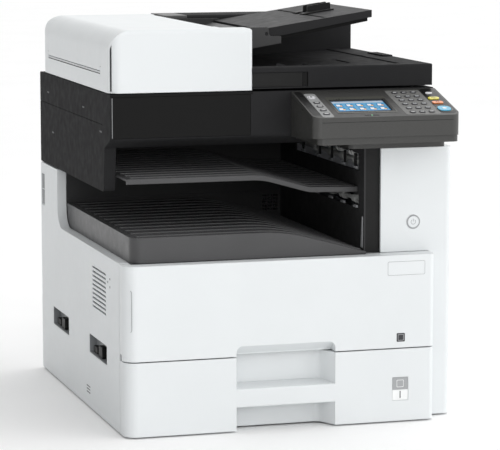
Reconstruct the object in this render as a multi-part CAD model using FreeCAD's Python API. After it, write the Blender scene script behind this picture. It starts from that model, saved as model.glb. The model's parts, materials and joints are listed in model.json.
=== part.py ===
import FreeCAD, Part
import math
import os

# Desktop A3 multifunction copier. Millimetres, +Z up, +X to the user's right, the user at -Y.
# Origin: centre of the footprint at the level the feet stand on.

# ---- driving sizes: body ----
body_width = 594.0
body_depth = 696.0
cover_wall = 3.0
cover_rim = 17.0
cover_gap = 0.5
moving_gap = 1.0
guide_gap = 0.3
shaft_gap = 0.05
foot_height = 3.0
foot_radius = 14.0
sheet = 2.0

left_x = -body_width / 2
right_x = body_width / 2
rear_y = body_depth / 2
panel_front_y = -body_depth / 2

# ---- driving sizes: levels ----
cassette_top_z = 129.4
front_cover_height = 162.1
bay_height = 184.5
tower_height = 106.5
scanner_height = 94.0
lid_gap = 4.0
lid_height = 37.0
processor_height = 104.0

cover_bottom_z = cassette_top_z + 2 * moving_gap
bay_floor_z = cover_bottom_z + front_cover_height
tower_top_z = bay_floor_z + tower_height
leg_low_z = tower_top_z + 2 * moving_gap
scanner_bottom_z = bay_floor_z + bay_height
column_top_z = scanner_bottom_z - 4 * moving_gap
scanner_top_z = scanner_bottom_z + scanner_height
lid_bottom_z = scanner_top_z + lid_gap
lid_top_z = lid_bottom_z + lid_height
processor_top_z = lid_bottom_z + processor_height

# ---- driving sizes: planes along Y ----
panel_overhang = 68.0
front_bulge = 35.4
scanner_setback = 62.0
leg_setback = 40.0
bay_rear_depth = 144.0

column_plane_y = panel_front_y + panel_overhang
front_plane_y = column_plane_y - front_bulge
side_front_y = column_plane_y + 5.5
scanner_front_y = column_plane_y + scanner_setback
leg_front_y = scanner_front_y + leg_setback
bay_rear_y = rear_y - bay_rear_depth

# ---- driving sizes: planes along X ----
column_width = 131.0
jamb_depth = 29.0
column_foot_width = 42.6
scanner_inset = 13.0
processor_width = 251.0

column_left_x = right_x - column_width
bay_right_x = column_left_x - jamb_depth
scanner_right_x = right_x - scanner_inset
lid_right_x = scanner_right_x - 2.2
processor_right_x = left_x + processor_width
door_column_gap_x = right_x - column_foot_width - moving_gap
frame_x = right_x - cover_rim - cover_gap
frame_front_y = column_plane_y + cover_rim + cover_gap
frame_rear_y = rear_y - cover_rim - cover_gap
inner_plate_x = frame_x - 33.5

# ---- sizes: front covers ----
front_left_radius = 21.0
front_right_radius = 10.0
column_radius = 12.0
notch_left_x = left_x + 193.5
notch_width = 176.2
notch_rise = 17.6
notch_depth = 38.0
bar_low_z = 43.0
bar_high_z = 75.0
bar_depth = 12.0
window_left_x = right_x - 120.4
window_width, window_low_z, window_high_z = 29.4, 38.8, 80.0
cover_pivot = (front_plane_y + 5.4, cover_bottom_z + 6.2)
cover_pin_radius = 1.75
cover_eye_radius = 3.4
cover_eye_width = 5.0
cover_eyes_x = (left_x + 38.5, door_column_gap_x - 34.9)
notch_right_x = notch_left_x + notch_width
notch_top_z = cover_bottom_z + notch_rise

# ---- sizes: cassette ----
cassette_left_x = left_x + 29.0
cassette_right_x = inner_plate_x - 8.0
cassette_depth = 388.0
cassette_low_z = 10.0
cassette_high_z = 115.0
rail_z = 64.0

# ---- sizes: side grips and vents ----
grip_length = 132.0
grip_height = 34.0
grip_low_z = 102.5
grip_depth = 15.0
grip_fronts = (side_front_y + 92.5, rear_y - 232.0)
vent_front_y = side_front_y + 96.5
vent_length = 102.0
vent_low_z = cover_bottom_z + 57.6
vent_pitch = 7.7
vent_height = 3.4
vent_count = 10
rear_vent_pitch = 9.0
rear_vent_count = 8

# ---- sizes: output trays ----
tray_front_y = column_plane_y - 9.0
tray_left_x = left_x + cover_rim + 1
tray_crest_z = bay_floor_z + 43.5
tray_end_z = bay_floor_z + 4.0
tray_skin = 3.0
upper_tray_front_y = column_plane_y + 37.0
upper_tray_z = scanner_bottom_z - 47.0
upper_tray_end_z = scanner_bottom_z - 73.0
upper_tray_skin = 4.0

# ---- sizes: exit rollers ----
exit_x = bay_right_x + 13.0
lower_exit_z = bay_floor_z + 85.5
upper_exit_z = scanner_bottom_z - 31.0
exit_shaft_radius = 4.0
exit_roller_radius = 8.0
exit_roller_width = 16.0
engine_rear_y = bay_rear_y - 54.0
mouth_front_y, mouth_rear_y = column_plane_y + 32.0, engine_rear_y - 40.0
exit_roller_centres = (mouth_front_y + 47.0, mouth_front_y + 114.0, mouth_front_y + 182.0, mouth_rear_y - 88.0)

# ---- sizes: scanner ----
leg_width = 20.0
scanner_wall = 3.0
scanner_front_wall = 6.0
glass_left_x, glass_right_x = left_x + 107.0, scanner_right_x - 22.0
glass_front_y, glass_rear_y = scanner_front_y + 106.0, rear_y - 142.0
glass_thickness = 3.0
glass_lip = 4.0
feed_glass_left_x, feed_glass_right_x = glass_left_x - 46.0, glass_left_x - 24.0
gloss_left_x, gloss_right_x = left_x + 3.0, processor_right_x - 3.0
gloss_low_z, gloss_high_z = scanner_bottom_z + 19.0, scanner_top_z - 4.5
gloss_thickness = 3.0
carriage_rail_z = scanner_bottom_z + 34.0
carriage_rails_y = (glass_front_y - 38.0, glass_rear_y + 26.0)
carriage_width = 46.0

# ---- sizes: document processor ----
lid_pivot_y = rear_y - 17.0
lid_pivot_z = lid_bottom_z + 7.0
lid_pin_radius = 4.0
lid_barrel_radius = 7.0
lid_barrel_length = 30.0
lid_hinge_x = (left_x + 97.0, right_x - 97.0)
processor_rear_y = rear_y - 32.0
lid_recess_x = processor_right_x + 100.0
processor_left_radius = 36.0
processor_edge_radius = 8.0
feed_cover_front_y, feed_cover_rear_y = scanner_front_y + 70.0, processor_rear_y - 46.0
feed_cover_right_x = processor_right_x - 52.0
feed_cover_low_z = lid_bottom_z + 31.0
feed_pivot = (left_x + 4.0, feed_cover_low_z + 4.0)
feed_pin_radius = 2.0
rear_housing_depth = 104.0
rear_housing_front_y = processor_rear_y - rear_housing_depth
rear_housing_top_z = lid_top_z + 68.0
rear_housing_left_x = feed_cover_right_x + 9.0
document_tray_front_y, document_tray_rear_y = scanner_front_y + 120.0, rear_housing_front_y - 8.0
document_tray_left_x, document_tray_right_x = processor_right_x + 52.0, lid_right_x - 69.8
document_tray_low_z, document_tray_high_z = lid_top_z + 58.0, lid_top_z + 89.0
document_tray_low_rim, document_tray_high_rim = 18.5, 12.5
document_skirt, document_skirt_inset = 6.5, 6.0
document_tray_skin = 3.0
document_pin_radius = 3.0
fork_width = 6.0
guide_left_x, guide_right_x = document_tray_right_x - 76.0, document_tray_right_x - 32.0
guide_height = 13.0
guide_half_spacing = 12.0
guide_foot = 14.0
inlet_fork_low_z, inlet_fork_high_z = lid_top_z + 19.0, lid_top_z + 62.0
inlet_front_y = feed_cover_front_y - 30.0

# ---- sizes: operation panel ----
panel_left_x, panel_right_x = right_x - 274.5, right_x - 11.0
panel_low_z = scanner_bottom_z + 23.0
panel_edge_z = panel_low_z + 34.6
panel_tilt = 15.2
panel_radius = 16.0
panel_wall = 2.5
panel_skirt = 12.0
neck_left_x = right_x - 189.0
screen_left_x, screen_low_v = panel_left_x + 54.0, 29.0
screen_width, screen_height = 95.0, 54.0
screen_recess = 2.0
screen_thickness = 1.6
key_gap = 0.3
key_proud = 1.6
key_flange = 1.0
key_stem = 5.0
power_x, power_z, power_radius = right_x - 71.3, bay_floor_z + 51.2, 10.0

# ---- sizes: right side door ----
door_front_y, door_rear_y = side_front_y + 85.5, rear_y - 119.0
door_low_z, door_high_z = cover_bottom_z + 5.6, column_top_z - 83.0
door_depth = 14.0
door_pivot = (right_x - 5.0, door_rear_y - 3.0)
door_pin_radius = 2.0
bypass_front_y, bypass_rear_y = door_front_y + 69.0, door_rear_y - 59.0
bypass_height = 140.0
bypass_low_z = door_low_z + 28.0
bypass_high_z = bypass_low_z + bypass_height
bypass_pivot = (right_x - 5.0, bypass_low_z + 3.5)
bypass_swing_gap = 3.0

# ---- sizes: engine ----
drum_x, drum_z, drum_radius = bay_right_x - 17.0, cover_bottom_z + 83.6, 15.0
drum_shaft_radius = 4.0
toner_x, toner_z, toner_radius = drum_x - 150.0, cover_bottom_z + 103.6, 32.0
fuser_low_x, fuser_width = exit_x + 18.0, 64.0
fuser_low_z, fuser_height = bay_floor_z + 6.5, 52.0
fuser_roller_radius = 14.0
inlet_left_x, inlet_width = right_x - 117.0, 40.0
inlet_low_z, inlet_height = 34.0, 32.0
stand_hole_radius = 2.75
stand_spacing_x, stand_spacing_y = 420.0, 440.0
fuser_high_x, fuser_high_z = fuser_low_x + fuser_width, fuser_low_z + fuser_height
inlet_x = (inlet_left_x, inlet_left_x + inlet_width)
inlet_z = (inlet_low_z, inlet_low_z + inlet_height)

V = FreeCAD.Vector


def box(x, y, z):
    return Part.makeBox(x[1] - x[0], y[1] - y[0], z[1] - z[0], V(x[0], y[0], z[0]))


def bar_x(radius, x, y, z):
    return Part.makeCylinder(radius, x[1] - x[0], V(x[0], y, z), V(1, 0, 0))


def bar_y(radius, x, y, z):
    return Part.makeCylinder(radius, y[1] - y[0], V(x, y[0], z), V(0, 1, 0))


def bar_z(radius, x, y, z):
    return Part.makeCylinder(radius, z[1] - z[0], V(x, y, z[0]), V(0, 0, 1))


def outline(points, place):
    """Closed wire through (a, b) or (a, b, radius) points; place turns (a, b) into a vector."""
    def unit(p, q):
        length = math.hypot(q[0] - p[0], q[1] - p[1])
        return (q[0] - p[0]) / length, (q[1] - p[1]) / length

    edges, last, first = [], None, None
    for i, p in enumerate(points):
        before, after = points[i - 1], points[(i + 1) % len(points)]
        radius = p[2] if len(p) > 2 else 0.0
        if radius:
            d1, d2 = unit(p, before), unit(p, after)
            half = math.acos(max(-1.0, min(1.0, d1[0] * d2[0] + d1[1] * d2[1]))) / 2
            reach = radius / math.tan(half)
            bis = unit((0, 0), (d1[0] + d2[0], d1[1] + d2[1]))
            mid = radius / math.sin(half) - radius
            start = (p[0] + d1[0] * reach, p[1] + d1[1] * reach)
            top = (p[0] + bis[0] * mid, p[1] + bis[1] * mid)
            end = (p[0] + d2[0] * reach, p[1] + d2[1] * reach)
        else:
            start = end = (p[0], p[1])
        if last is not None and math.dist(last, start) > 1e-6:
            edges.append(Part.LineSegment(place(*last), place(*start)).toShape())
        if radius:
            edges.append(Part.Arc(place(*start), place(*top), place(*end)).toShape())
        first = first or start
        last = end
    if math.dist(last, first) > 1e-6:
        edges.append(Part.LineSegment(place(*last), place(*first)).toShape())
    return Part.Wire(edges)


def prism_x(points, x):
    """Outline in (y, z), extruded along X."""
    wire = outline(points, lambda a, b: V(x[0], a, b))
    return Part.Face(wire).extrude(V(x[1] - x[0], 0, 0))


def prism_y(points, y):
    """Outline in (x, z), extruded along Y."""
    wire = outline(points, lambda a, b: V(a, y[0], b))
    return Part.Face(wire).extrude(V(0, y[1] - y[0], 0))


def prism_z(points, z):
    """Outline in (x, y), extruded along Z."""
    wire = outline(points, lambda a, b: V(a, b, z[0]))
    return Part.Face(wire).extrude(V(0, 0, z[1] - z[0]))


def slab(x, y, z, radius):
    """Box with its four vertical edges rounded."""
    corners = [(x[0], y[0], radius), (x[1], y[0], radius), (x[1], y[1], radius), (x[0], y[1], radius)]
    return prism_z(corners, z)


def fuse(shapes):
    whole = shapes[0].multiFuse(shapes[1:]) if len(shapes) > 1 else shapes[0]
    return whole.removeSplitter()


def save(name, shape):
    shape.exportStep("parts/" + name + ".step")


# ---------------------------------------------------------------- frame and feet

def chassis():
    """Bent sheet steel: base, decks, side plates and bearing plates."""
    low = foot_height + 3.0
    plate_top = column_top_z
    tower_top = leg_low_z - guide_gap
    rear = (frame_rear_y - sheet, frame_rear_y)
    front = (frame_front_y, frame_front_y + sheet)
    full_x = (-frame_x, frame_x)
    deck_z = (cover_bottom_z, cover_bottom_z + sheet)
    top_z = (bay_floor_z - sheet, bay_floor_z)
    parts = [
        box(full_x, (frame_front_y, frame_rear_y), (low, low + sheet)),
        box((-frame_x, -frame_x + sheet), (frame_front_y, frame_rear_y), (low, bay_floor_z)),
        box((-frame_x, -frame_x + sheet), (bay_rear_y + 4, frame_rear_y), (low, tower_top)),
        box((inner_plate_x, inner_plate_x + sheet), (frame_front_y, frame_rear_y), (low, tower_top)),
        box((inner_plate_x, inner_plate_x + sheet), (frame_front_y, bay_rear_y), (low, plate_top)),
        box((inner_plate_x, inner_plate_x + sheet), (scanner_front_y + 1, bay_rear_y),
            (low, scanner_bottom_z - guide_gap)),
        box(full_x, rear, (low, tower_top)),
        box((-frame_x, inner_plate_x), (frame_front_y, frame_rear_y), deck_z),
        box((-frame_x, bay_right_x - 1), (frame_front_y, frame_rear_y), top_z),
        box(full_x, front, (cover_bottom_z, bay_floor_z)),
        box((column_left_x + 3, frame_x), front, (cover_bottom_z, plate_top)),
        box((inner_plate_x, frame_x), front, (low, plate_top)),
        box((drum_x - 60, inner_plate_x), (engine_rear_y, engine_rear_y + sheet), (cover_bottom_z, bay_floor_z)),
        box((exit_x - 9, inner_plate_x), (engine_rear_y, engine_rear_y + sheet), (bay_floor_z - 1, plate_top)),
        box((exit_x - 9, inner_plate_x), front, (bay_floor_z - 1, plate_top)),
    ]
    # cassette runners on both side plates
    runner_y = (frame_front_y + 7.5, frame_rear_y)
    parts.append(box((-frame_x, cassette_left_x - guide_gap), runner_y, (rail_z - sheet, rail_z)))
    parts.append(box((cassette_right_x + guide_gap, inner_plate_x), runner_y, (rail_z - sheet, rail_z)))
    # shelf under the toner container
    shelf_z = toner_z - toner_radius - guide_gap
    parts.append(box((toner_x - 20, toner_x + 20), (frame_front_y, engine_rear_y + 60), (shelf_z - sheet, shelf_z)))
    parts.append(box((toner_x - 20, toner_x - 18), (engine_rear_y + 40, engine_rear_y + 60),
                     (cover_bottom_z, shelf_z)))
    # brackets of the front cover's hinge
    py, pz = cover_pivot
    eye = cover_eye_radius
    for x in cover_eyes_x:
        parts.append(box((x, x + cover_eye_width), (py, frame_front_y + 1), (pz - eye, pz + eye)))
        parts.append(bar_x(eye, (x, x + cover_eye_width), py, pz))
    # shelf that carries the fusing unit
    parts.append(box((fuser_low_x, inner_plate_x + 1), (frame_front_y, engine_rear_y + 1),
                     (fuser_low_z - sheet, fuser_low_z)))
    frame = fuse(parts)
    cuts = [bar_x(cover_pin_radius + shaft_gap, (x - 1, x + cover_eye_width + 1), py, pz) for x in cover_eyes_x]
    for y in (frame_front_y - 1, engine_rear_y - 1):
        for x, z, radius in ((exit_x, lower_exit_z, exit_shaft_radius),
                             (exit_x, upper_exit_z, exit_shaft_radius),
                             (drum_x, drum_z, drum_shaft_radius)):
            cuts.append(bar_y(radius + shaft_gap, x, (y, y + sheet + 2), z))
    # openings in the front plate: for the toner container, and for service work beside it
    cuts.append(bar_y(toner_radius + 4, toner_x, (frame_front_y - 1, frame_front_y + sheet + 1), toner_z))
    cuts.append(box((-frame_x + 40, toner_x - toner_radius - 40), (frame_front_y - 1, frame_front_y + sheet + 1),
                    (deck_z[1] + 25, top_z[0] - 20)))
    for sx in (-1, 1):
        for sy in (-1, 1):
            cuts.append(bar_z(stand_hole_radius, sx * stand_spacing_x / 2, sy * stand_spacing_y / 2,
                              (low - 1, low + sheet + 1)))
    # opening in the rear plate for the mains inlet
    cuts.append(box((inlet_x[0] - 4, inlet_x[1] + 4), (rear[0] - 1, rear[1] + 1), (inlet_z[0] - 4, inlet_z[1] + 4)))
    return frame.cut(Part.makeCompound(cuts))


def feet():
    """Four round moulded feet under the base sheet."""
    low = foot_height + 3.0
    pads = []
    for x in (left_x + 57, right_x - 72):
        for y in (frame_front_y + 27.5, rear_y - 48):
            pads.append(bar_z(foot_radius, x, y, (0, low - guide_gap)))
    return Part.makeCompound(pads)


# ---------------------------------------------------------------- outer covers

def side_outline(rim):
    """Left side in (y, z), inset by rim, with the step down to the output bay."""
    return [(side_front_y + rim, foot_height + rim),
            (rear_y - rim, foot_height + rim, 4.0),
            (rear_y - rim, tower_top_z - rim, 4.0),
            (bay_rear_y + rim, tower_top_z - rim),
            (bay_rear_y + rim, bay_floor_z - rim, 36.0 + rim),
            (side_front_y + rim, bay_floor_z - rim)]


def left_cover():
    inner_x = left_x + cover_rim
    shell = prism_x(side_outline(0.0), (left_x, inner_x))
    shell = shell.cut(prism_x(side_outline(cover_wall), (left_x + cover_wall, inner_x + 1)))
    extra, cuts = [], []
    grip_z = (grip_low_z, grip_low_z + grip_height)
    for y in grip_fronts:
        span = (y, y + grip_length)
        extra.append(box((left_x + 1, left_x + grip_depth + 1), (span[0] - 2, span[1] + 2),
                         (grip_z[0] - 2, grip_z[1] + 2)))
        cuts.append(prism_x([(span[0], grip_z[0], 3.0), (span[1], grip_z[0], 3.0),
                             (span[1], grip_z[1], 3.0), (span[0], grip_z[1], 3.0)],
                            (left_x - 1, left_x + grip_depth - 1)))
    for i in range(vent_count):
        z = vent_low_z + i * vent_pitch
        cuts.append(box((left_x - 1, left_x + cover_wall + 1), (vent_front_y, vent_front_y + vent_length),
                        (z, z + vent_height)))
    # narrow upright exhaust slot near the rear edge
    cuts.append(box((left_x - 1, left_x + 1.5), (rear_y - 33, rear_y - 6), (tower_top_z - 81, tower_top_z - 21)))
    return fuse([shell] + extra).cut(Part.makeCompound(cuts))


def rear_cover():
    x = (-frame_x, frame_x)
    z = (foot_height, tower_top_z)
    shell = box(x, (rear_y - cover_rim, rear_y), z)
    shell = shell.cut(box((x[0] + cover_wall, x[1] - cover_wall), (rear_y - cover_rim - 1, rear_y - cover_wall),
                          (z[0] + cover_wall, z[1] - cover_wall)))
    cuts = [box(inlet_x, (rear_y - cover_rim - 2, rear_y + 1), inlet_z)]
    for column in (left_x + 97, left_x + 237):
        for i in range(rear_vent_count):
            z = tower_top_z - 100 + i * rear_vent_pitch
            cuts.append(box((column, column + 100), (rear_y - cover_wall - 1, rear_y + 1), (z, z + 4)))
    return shell.cut(Part.makeCompound(cuts))


def column_cover():
    """White front pillar: narrow beside the front cover, wide beside the output bay."""
    rim = (column_plane_y, column_plane_y + cover_rim)
    top = column_top_z

    def plan(inset, left):
        return [(left + inset, rim[0] + inset), (right_x - inset, rim[0] + inset, column_radius - inset),
                (right_x - inset, rim[1] + 1 if inset else rim[1]),
                (left + inset, rim[1] + 1 if inset else rim[1])]

    low_left = door_column_gap_x + moving_gap
    outer = fuse([prism_z(plan(0.0, low_left), (foot_height, bay_floor_z + 1)),
                  prism_z(plan(0.0, column_left_x), (bay_floor_z, top))])
    inner = fuse([prism_z(plan(cover_wall, low_left), (foot_height + cover_wall, top - cover_wall)),
                  prism_z(plan(cover_wall, column_left_x), (bay_floor_z + cover_wall, top - cover_wall))])
    hole = bar_y(power_radius + key_gap, power_x, (rim[0] - 1, rim[1]), power_z)
    ring = bar_y(power_radius + 3, power_x, (rim[0] + 1, rim[0] + 8), power_z)
    return fuse([outer.cut(inner), ring]).cut(hole)


def right_cover():
    """Right side skin around the door opening, with the door's hinge lugs."""
    y = (column_plane_y + cover_rim + cover_gap, rear_y)
    z = (foot_height, column_top_z)
    shell = box((right_x - cover_rim, right_x), y, z)
    shell = shell.cut(box((right_x - cover_rim - 1, right_x - cover_wall),
                          (y[0] + cover_wall, y[1] - cover_wall), (z[0] + cover_wall, z[1] - cover_wall)))
    px, py = door_pivot
    lugs = [box((px - 6, right_x - 1), (py - 8, py + 8), (door_low_z - 9, door_low_z - 1)),
            box((px - 6, right_x - 1), (py - 8, py + 8), (door_high_z + 1, door_high_z + 9))]
    opening = box((right_x - cover_rim - 1, right_x + 1), (door_front_y - moving_gap, door_rear_y + 3),
                  (door_low_z - moving_gap, door_high_z + moving_gap))
    pins = bar_z(door_pin_radius + shaft_gap, px, py, (door_low_z - 20, door_high_z + 20))
    return fuse([shell.cut(opening)] + lugs).cut(pins)


def front_cover():
    """Hinged white cover in front of the engine; pivots on two ribs at its lower edge."""
    right = door_column_gap_x
    back = side_front_y - 2
    z = (cover_bottom_z, bay_floor_z - cover_gap)
    ledge_back = column_plane_y - moving_gap

    def plan(inset):
        rear = back + 1 if inset else back
        return [(left_x + inset, front_plane_y + inset, front_left_radius - inset),
                (right - inset, front_plane_y + inset, front_right_radius - inset),
                (right - inset, ledge_back if not inset else rear), (left_x + inset, rear)]

    outer = prism_z(plan(0.0), z)
    inner = prism_z(plan(cover_wall), (z[0] - 1, z[1] - cover_wall))
    # the side returns stop short of the sill, so that they clear it as the cover swings down
    sill = box((left_x - 1, right + 1), (front_plane_y + 26, back + 1), (z[0] - 1, z[0] + 9))
    shell = outer.cut(inner).cut(sill)
    py, pz = cover_pivot
    room = cover_eye_radius + guide_gap
    pockets = []
    for x in cover_eyes_x:
        pockets.append(bar_x(room, (x - 1, x + cover_eye_width + 1), py, pz))
        pockets.append(box((x - 1, x + cover_eye_width + 1), (py - room, py), (z[0] - 1, pz)))
    # the top ledge stays in front of the exit tray, under which it would rise as it swings
    pockets.append(box((tray_left_x - moving_gap, bay_right_x + moving_gap), (tray_front_y - moving_gap, back + 1),
                       (z[1] - cover_wall - 1, z[1] + 1)))
    shell = shell.cut(Part.makeCompound(pockets))
    # scooped block above the cassette's grip
    block = box((notch_left_x - 4, notch_right_x + 4), (front_plane_y + 1, front_plane_y + 27),
                (z[0], notch_top_z + 4))
    scoop = prism_x([(front_plane_y - 1, z[0] - 1), (front_plane_y - 1, notch_top_z + 0.6),
                     (front_plane_y + 22, z[0] + 2, 6.0), (front_plane_y + 22, z[0] - 1)],
                    (notch_left_x, notch_right_x))
    arch = prism_y([(notch_left_x, z[0] - 2), (notch_left_x, notch_top_z + 0.3, 12.0),
                    (notch_right_x, notch_top_z + 0.3, 12.0), (notch_right_x, z[0] - 2)],
                   (front_plane_y - 2, front_plane_y + 23))
    pieces = [fuse([shell, block]).cut(scoop.common(arch))]
    for x, side in zip(cover_eyes_x, (-1, 1)):
        rib = (x - 4, x - 1) if side < 0 else (x + cover_eye_width + 1, x + cover_eye_width + 4)
        pin = (rib[0], x + cover_eye_width + 1) if side < 0 else (x - 1, rib[1])
        pieces.append(box(rib, (front_plane_y + 1, py + 8), (pz, pz + 25)))
        pieces.append(bar_x(4.0, rib, py, pz))
        pieces.append(bar_x(cover_pin_radius, pin, py, pz))
    return fuse(pieces)


# ---------------------------------------------------------------- cassette

def cassette_front():
    """Drawer front with a recessed grip channel crossed by a bar."""
    back = side_front_y - 2
    z = (foot_height, cassette_top_z)
    right = door_column_gap_x

    def plan(inset):
        rear = back + 1 if inset else back
        return [(left_x + inset, front_plane_y + inset, front_left_radius - inset),
                (right - inset, front_plane_y + inset, front_right_radius - inset),
                (right - inset, column_plane_y - moving_gap if not inset else rear), (left_x + inset, rear)]

    shell = prism_z(plan(0.0), z).cut(prism_z(plan(cover_wall), (z[0] + cover_wall, z[1] - cover_wall)))
    channel = [(notch_left_x, front_plane_y - 1), (notch_right_x, front_plane_y - 1),
               (notch_right_x, front_plane_y + 1, 10.0), (notch_right_x - 18, front_plane_y + notch_depth, 16.0),
               (notch_left_x, front_plane_y + notch_depth, 6.0)]
    wall = [(notch_left_x - 3, front_plane_y + 1), (notch_right_x + 3, front_plane_y + 1),
            (notch_right_x + 3, front_plane_y + 2, 10.0),
            (notch_right_x - 15, front_plane_y + notch_depth + 2.5, 18.0),
            (notch_left_x - 3, front_plane_y + notch_depth + 2.5)]
    body = fuse([shell, prism_z(wall, z)]).cut(prism_z(channel, (z[0] - 1, z[1] + 1)))
    bar = prism_x([(front_plane_y, bar_low_z, 3.0), (front_plane_y, bar_high_z, 3.0),
                   (front_plane_y + notch_depth + 1, bar_high_z + 5),
                   (front_plane_y + notch_depth + 1, bar_high_z + 2),
                   (front_plane_y + bar_depth, bar_high_z - 3), (front_plane_y + bar_depth, bar_low_z, 3.0)],
                  (notch_left_x - 1, notch_right_x + 1))
    # window that shows the paper size and the cassette's number
    window = box((window_left_x, window_left_x + window_width), (front_plane_y - 1, front_plane_y + 1.0),
                 (window_low_z, window_high_z))
    ribs = [box((x, x + 3), (front_plane_y + 2, side_front_y + 1.2), (cassette_low_z + 10, cassette_high_z - 5))
            for x in (left_x + 77, notch_left_x - 56.5, notch_right_x + 57.3, right - 38.4)]
    trimmed = bar.common(prism_z(plan(0.0), z))
    return fuse([body, trimmed] + ribs).cut(window)


def cassette_tray():
    """Paper tray behind the drawer front, with a flange on each side that rides on the runners."""
    y = (side_front_y + 1.2, side_front_y + 1.2 + cassette_depth)
    x = (cassette_left_x, cassette_right_x)
    z = (cassette_low_z, cassette_high_z)
    tray = box(x, y, z).cut(box((x[0] + 3, x[1] - 3), (y[0] + 3, y[1] - 3), (z[0] + 3, z[1] + 1)))
    flange = (rail_z + guide_gap, rail_z + guide_gap + 3)
    parts = [tray, box((x[0] - 6, x[0] + 1), (y[0] + 20, y[1]), flange),
             box((x[1] - 1, x[1] + 5), (y[0] + 20, y[1]), flange)]
    return fuse(parts)


# ---------------------------------------------------------------- output bay

def bay_wall():
    """Black inner walls: rear wall, right wall with the two paper mouths, and the front jamb."""
    z = (bay_floor_z + guide_gap, column_top_z)
    t = 3.0
    right = (bay_right_x, bay_right_x + t)
    parts = [box((left_x + cover_rim + cover_gap, right[1]), (bay_rear_y, bay_rear_y + t), (z[0], tower_top_z)),
             box((left_x + leg_width + cover_gap, right[1]), (bay_rear_y, bay_rear_y + t), z),
             box(right, (column_plane_y + 8, bay_rear_y + 1), z),
             box((right[0], column_left_x - cover_gap), (column_plane_y + 5, column_plane_y + 8), z)]
    wall = fuse(parts)
    cuts = []
    for low, high in ((lower_exit_z - 12, lower_exit_z + 12), (upper_exit_z - 14, upper_exit_z + 16)):
        cuts.append(box((right[0] - 1, right[1] + 1), (mouth_front_y, mouth_rear_y), (low, high)))
    for row in range(5):
        for column in range(3):
            x = bay_right_x - 36 + column * 11
            low = bay_floor_z + 15.5 + row * 6.6
            cuts.append(box((x, x + 8), (bay_rear_y - 1, bay_rear_y + t + 1), (low, low + 3.4)))
    return wall.cut(Part.makeCompound(cuts))


def lower_exit_tray():
    """Paper rest of the output bay: flat crest on the left, falling in a curve to the right."""
    y = (tray_front_y, bay_rear_y - cover_gap)
    x_end = bay_right_x - cover_gap
    base = bay_floor_z + guide_gap
    fall_x = x_end - 146.5
    body = prism_y([(tray_left_x, base), (tray_left_x, tray_crest_z), (fall_x, tray_crest_z + 1, 300.0),
                    (x_end, tray_end_z), (x_end, base)], y)
    plan = prism_z([(tray_left_x, y[0], 20.0), (x_end + 1, y[0]), (x_end + 1, y[1]), (tray_left_x, y[1])],
                   (base - 1, tray_crest_z + 2))
    body = body.common(plan)
    inner_front = y[0] + tray_skin
    hollow = prism_y([(tray_left_x + tray_skin, base - 1), (tray_left_x + tray_skin, tray_crest_z - tray_skin),
                      (fall_x - 4, tray_crest_z - tray_skin + 1, 300.0), (x_end - 14, base + 2.4),
                      (x_end - 14, base - 1)],
                     (inner_front, y[1] - tray_skin))
    hollow = hollow.common(prism_z([(tray_left_x + tray_skin, inner_front, 17.0), (x_end, inner_front),
                                    (x_end, y[1]), (tray_left_x + tray_skin, y[1])], (base - 2, tray_crest_z)))
    return body.cut(hollow)


def upper_exit_tray():
    """Second paper rest, carried by the rear and right walls, with a lip along its front edge."""
    y = (upper_tray_front_y, bay_rear_y - cover_gap)
    x_end = bay_right_x - cover_gap
    x_start = left_x + leg_width + 2
    t = upper_tray_skin
    top = [(x_start, upper_tray_z), (x_end - 172.5, upper_tray_z, 120.0), (x_end - 88.5, upper_tray_end_z + 2, 60.0),
           (x_end, upper_tray_end_z)]
    under = [(a[0], a[1] - t) + tuple(a[2:]) for a in reversed(top)]
    plate = prism_y(top + under, y)
    lip = prism_y(top + [(a[0], a[1] - 9) + tuple(a[2:]) for a in reversed(top)], (y[0], y[0] + 5))
    return fuse([plate, lip])


def exit_rollers(z):
    """Shaft with soft rollers that push the paper out through one mouth."""
    shaft = bar_y(exit_shaft_radius, exit_x, (frame_front_y - 3, engine_rear_y + 6), z)
    rollers = [bar_y(exit_roller_radius, exit_x, (c - exit_roller_width / 2, c + exit_roller_width / 2), z)
               for c in exit_roller_centres]
    # one flat shows the turn and drives the shaft's gear
    flat = box((exit_x - 10, exit_x + 10), (engine_rear_y + sheet + 1, engine_rear_y + 7),
               (z + exit_shaft_radius - 0.8, z + 10))
    return fuse([shaft] + rollers).cut(flat)


# ---------------------------------------------------------------- print engine

def photo_drum():
    shaft = bar_y(drum_shaft_radius, drum_x, (frame_front_y - 3, engine_rear_y + 8), drum_z)
    tube = bar_y(drum_radius, drum_x, (frame_front_y + 72.5, engine_rear_y - 14), drum_z)
    flange = bar_y(drum_radius + 4, drum_x, (engine_rear_y - 13, engine_rear_y - 6), drum_z)
    neck = bar_y(drum_radius - 7, drum_x, (engine_rear_y - 15, engine_rear_y - 12), drum_z)
    return fuse([shaft, tube, flange, neck])


def toner_container():
    bottle = bar_y(toner_radius, toner_x, (frame_front_y + 4, engine_rear_y + 20), toner_z)
    cap = bar_y(18, toner_x, (frame_front_y - 8, frame_front_y + 5), toner_z)
    return fuse([bottle, cap])


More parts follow.
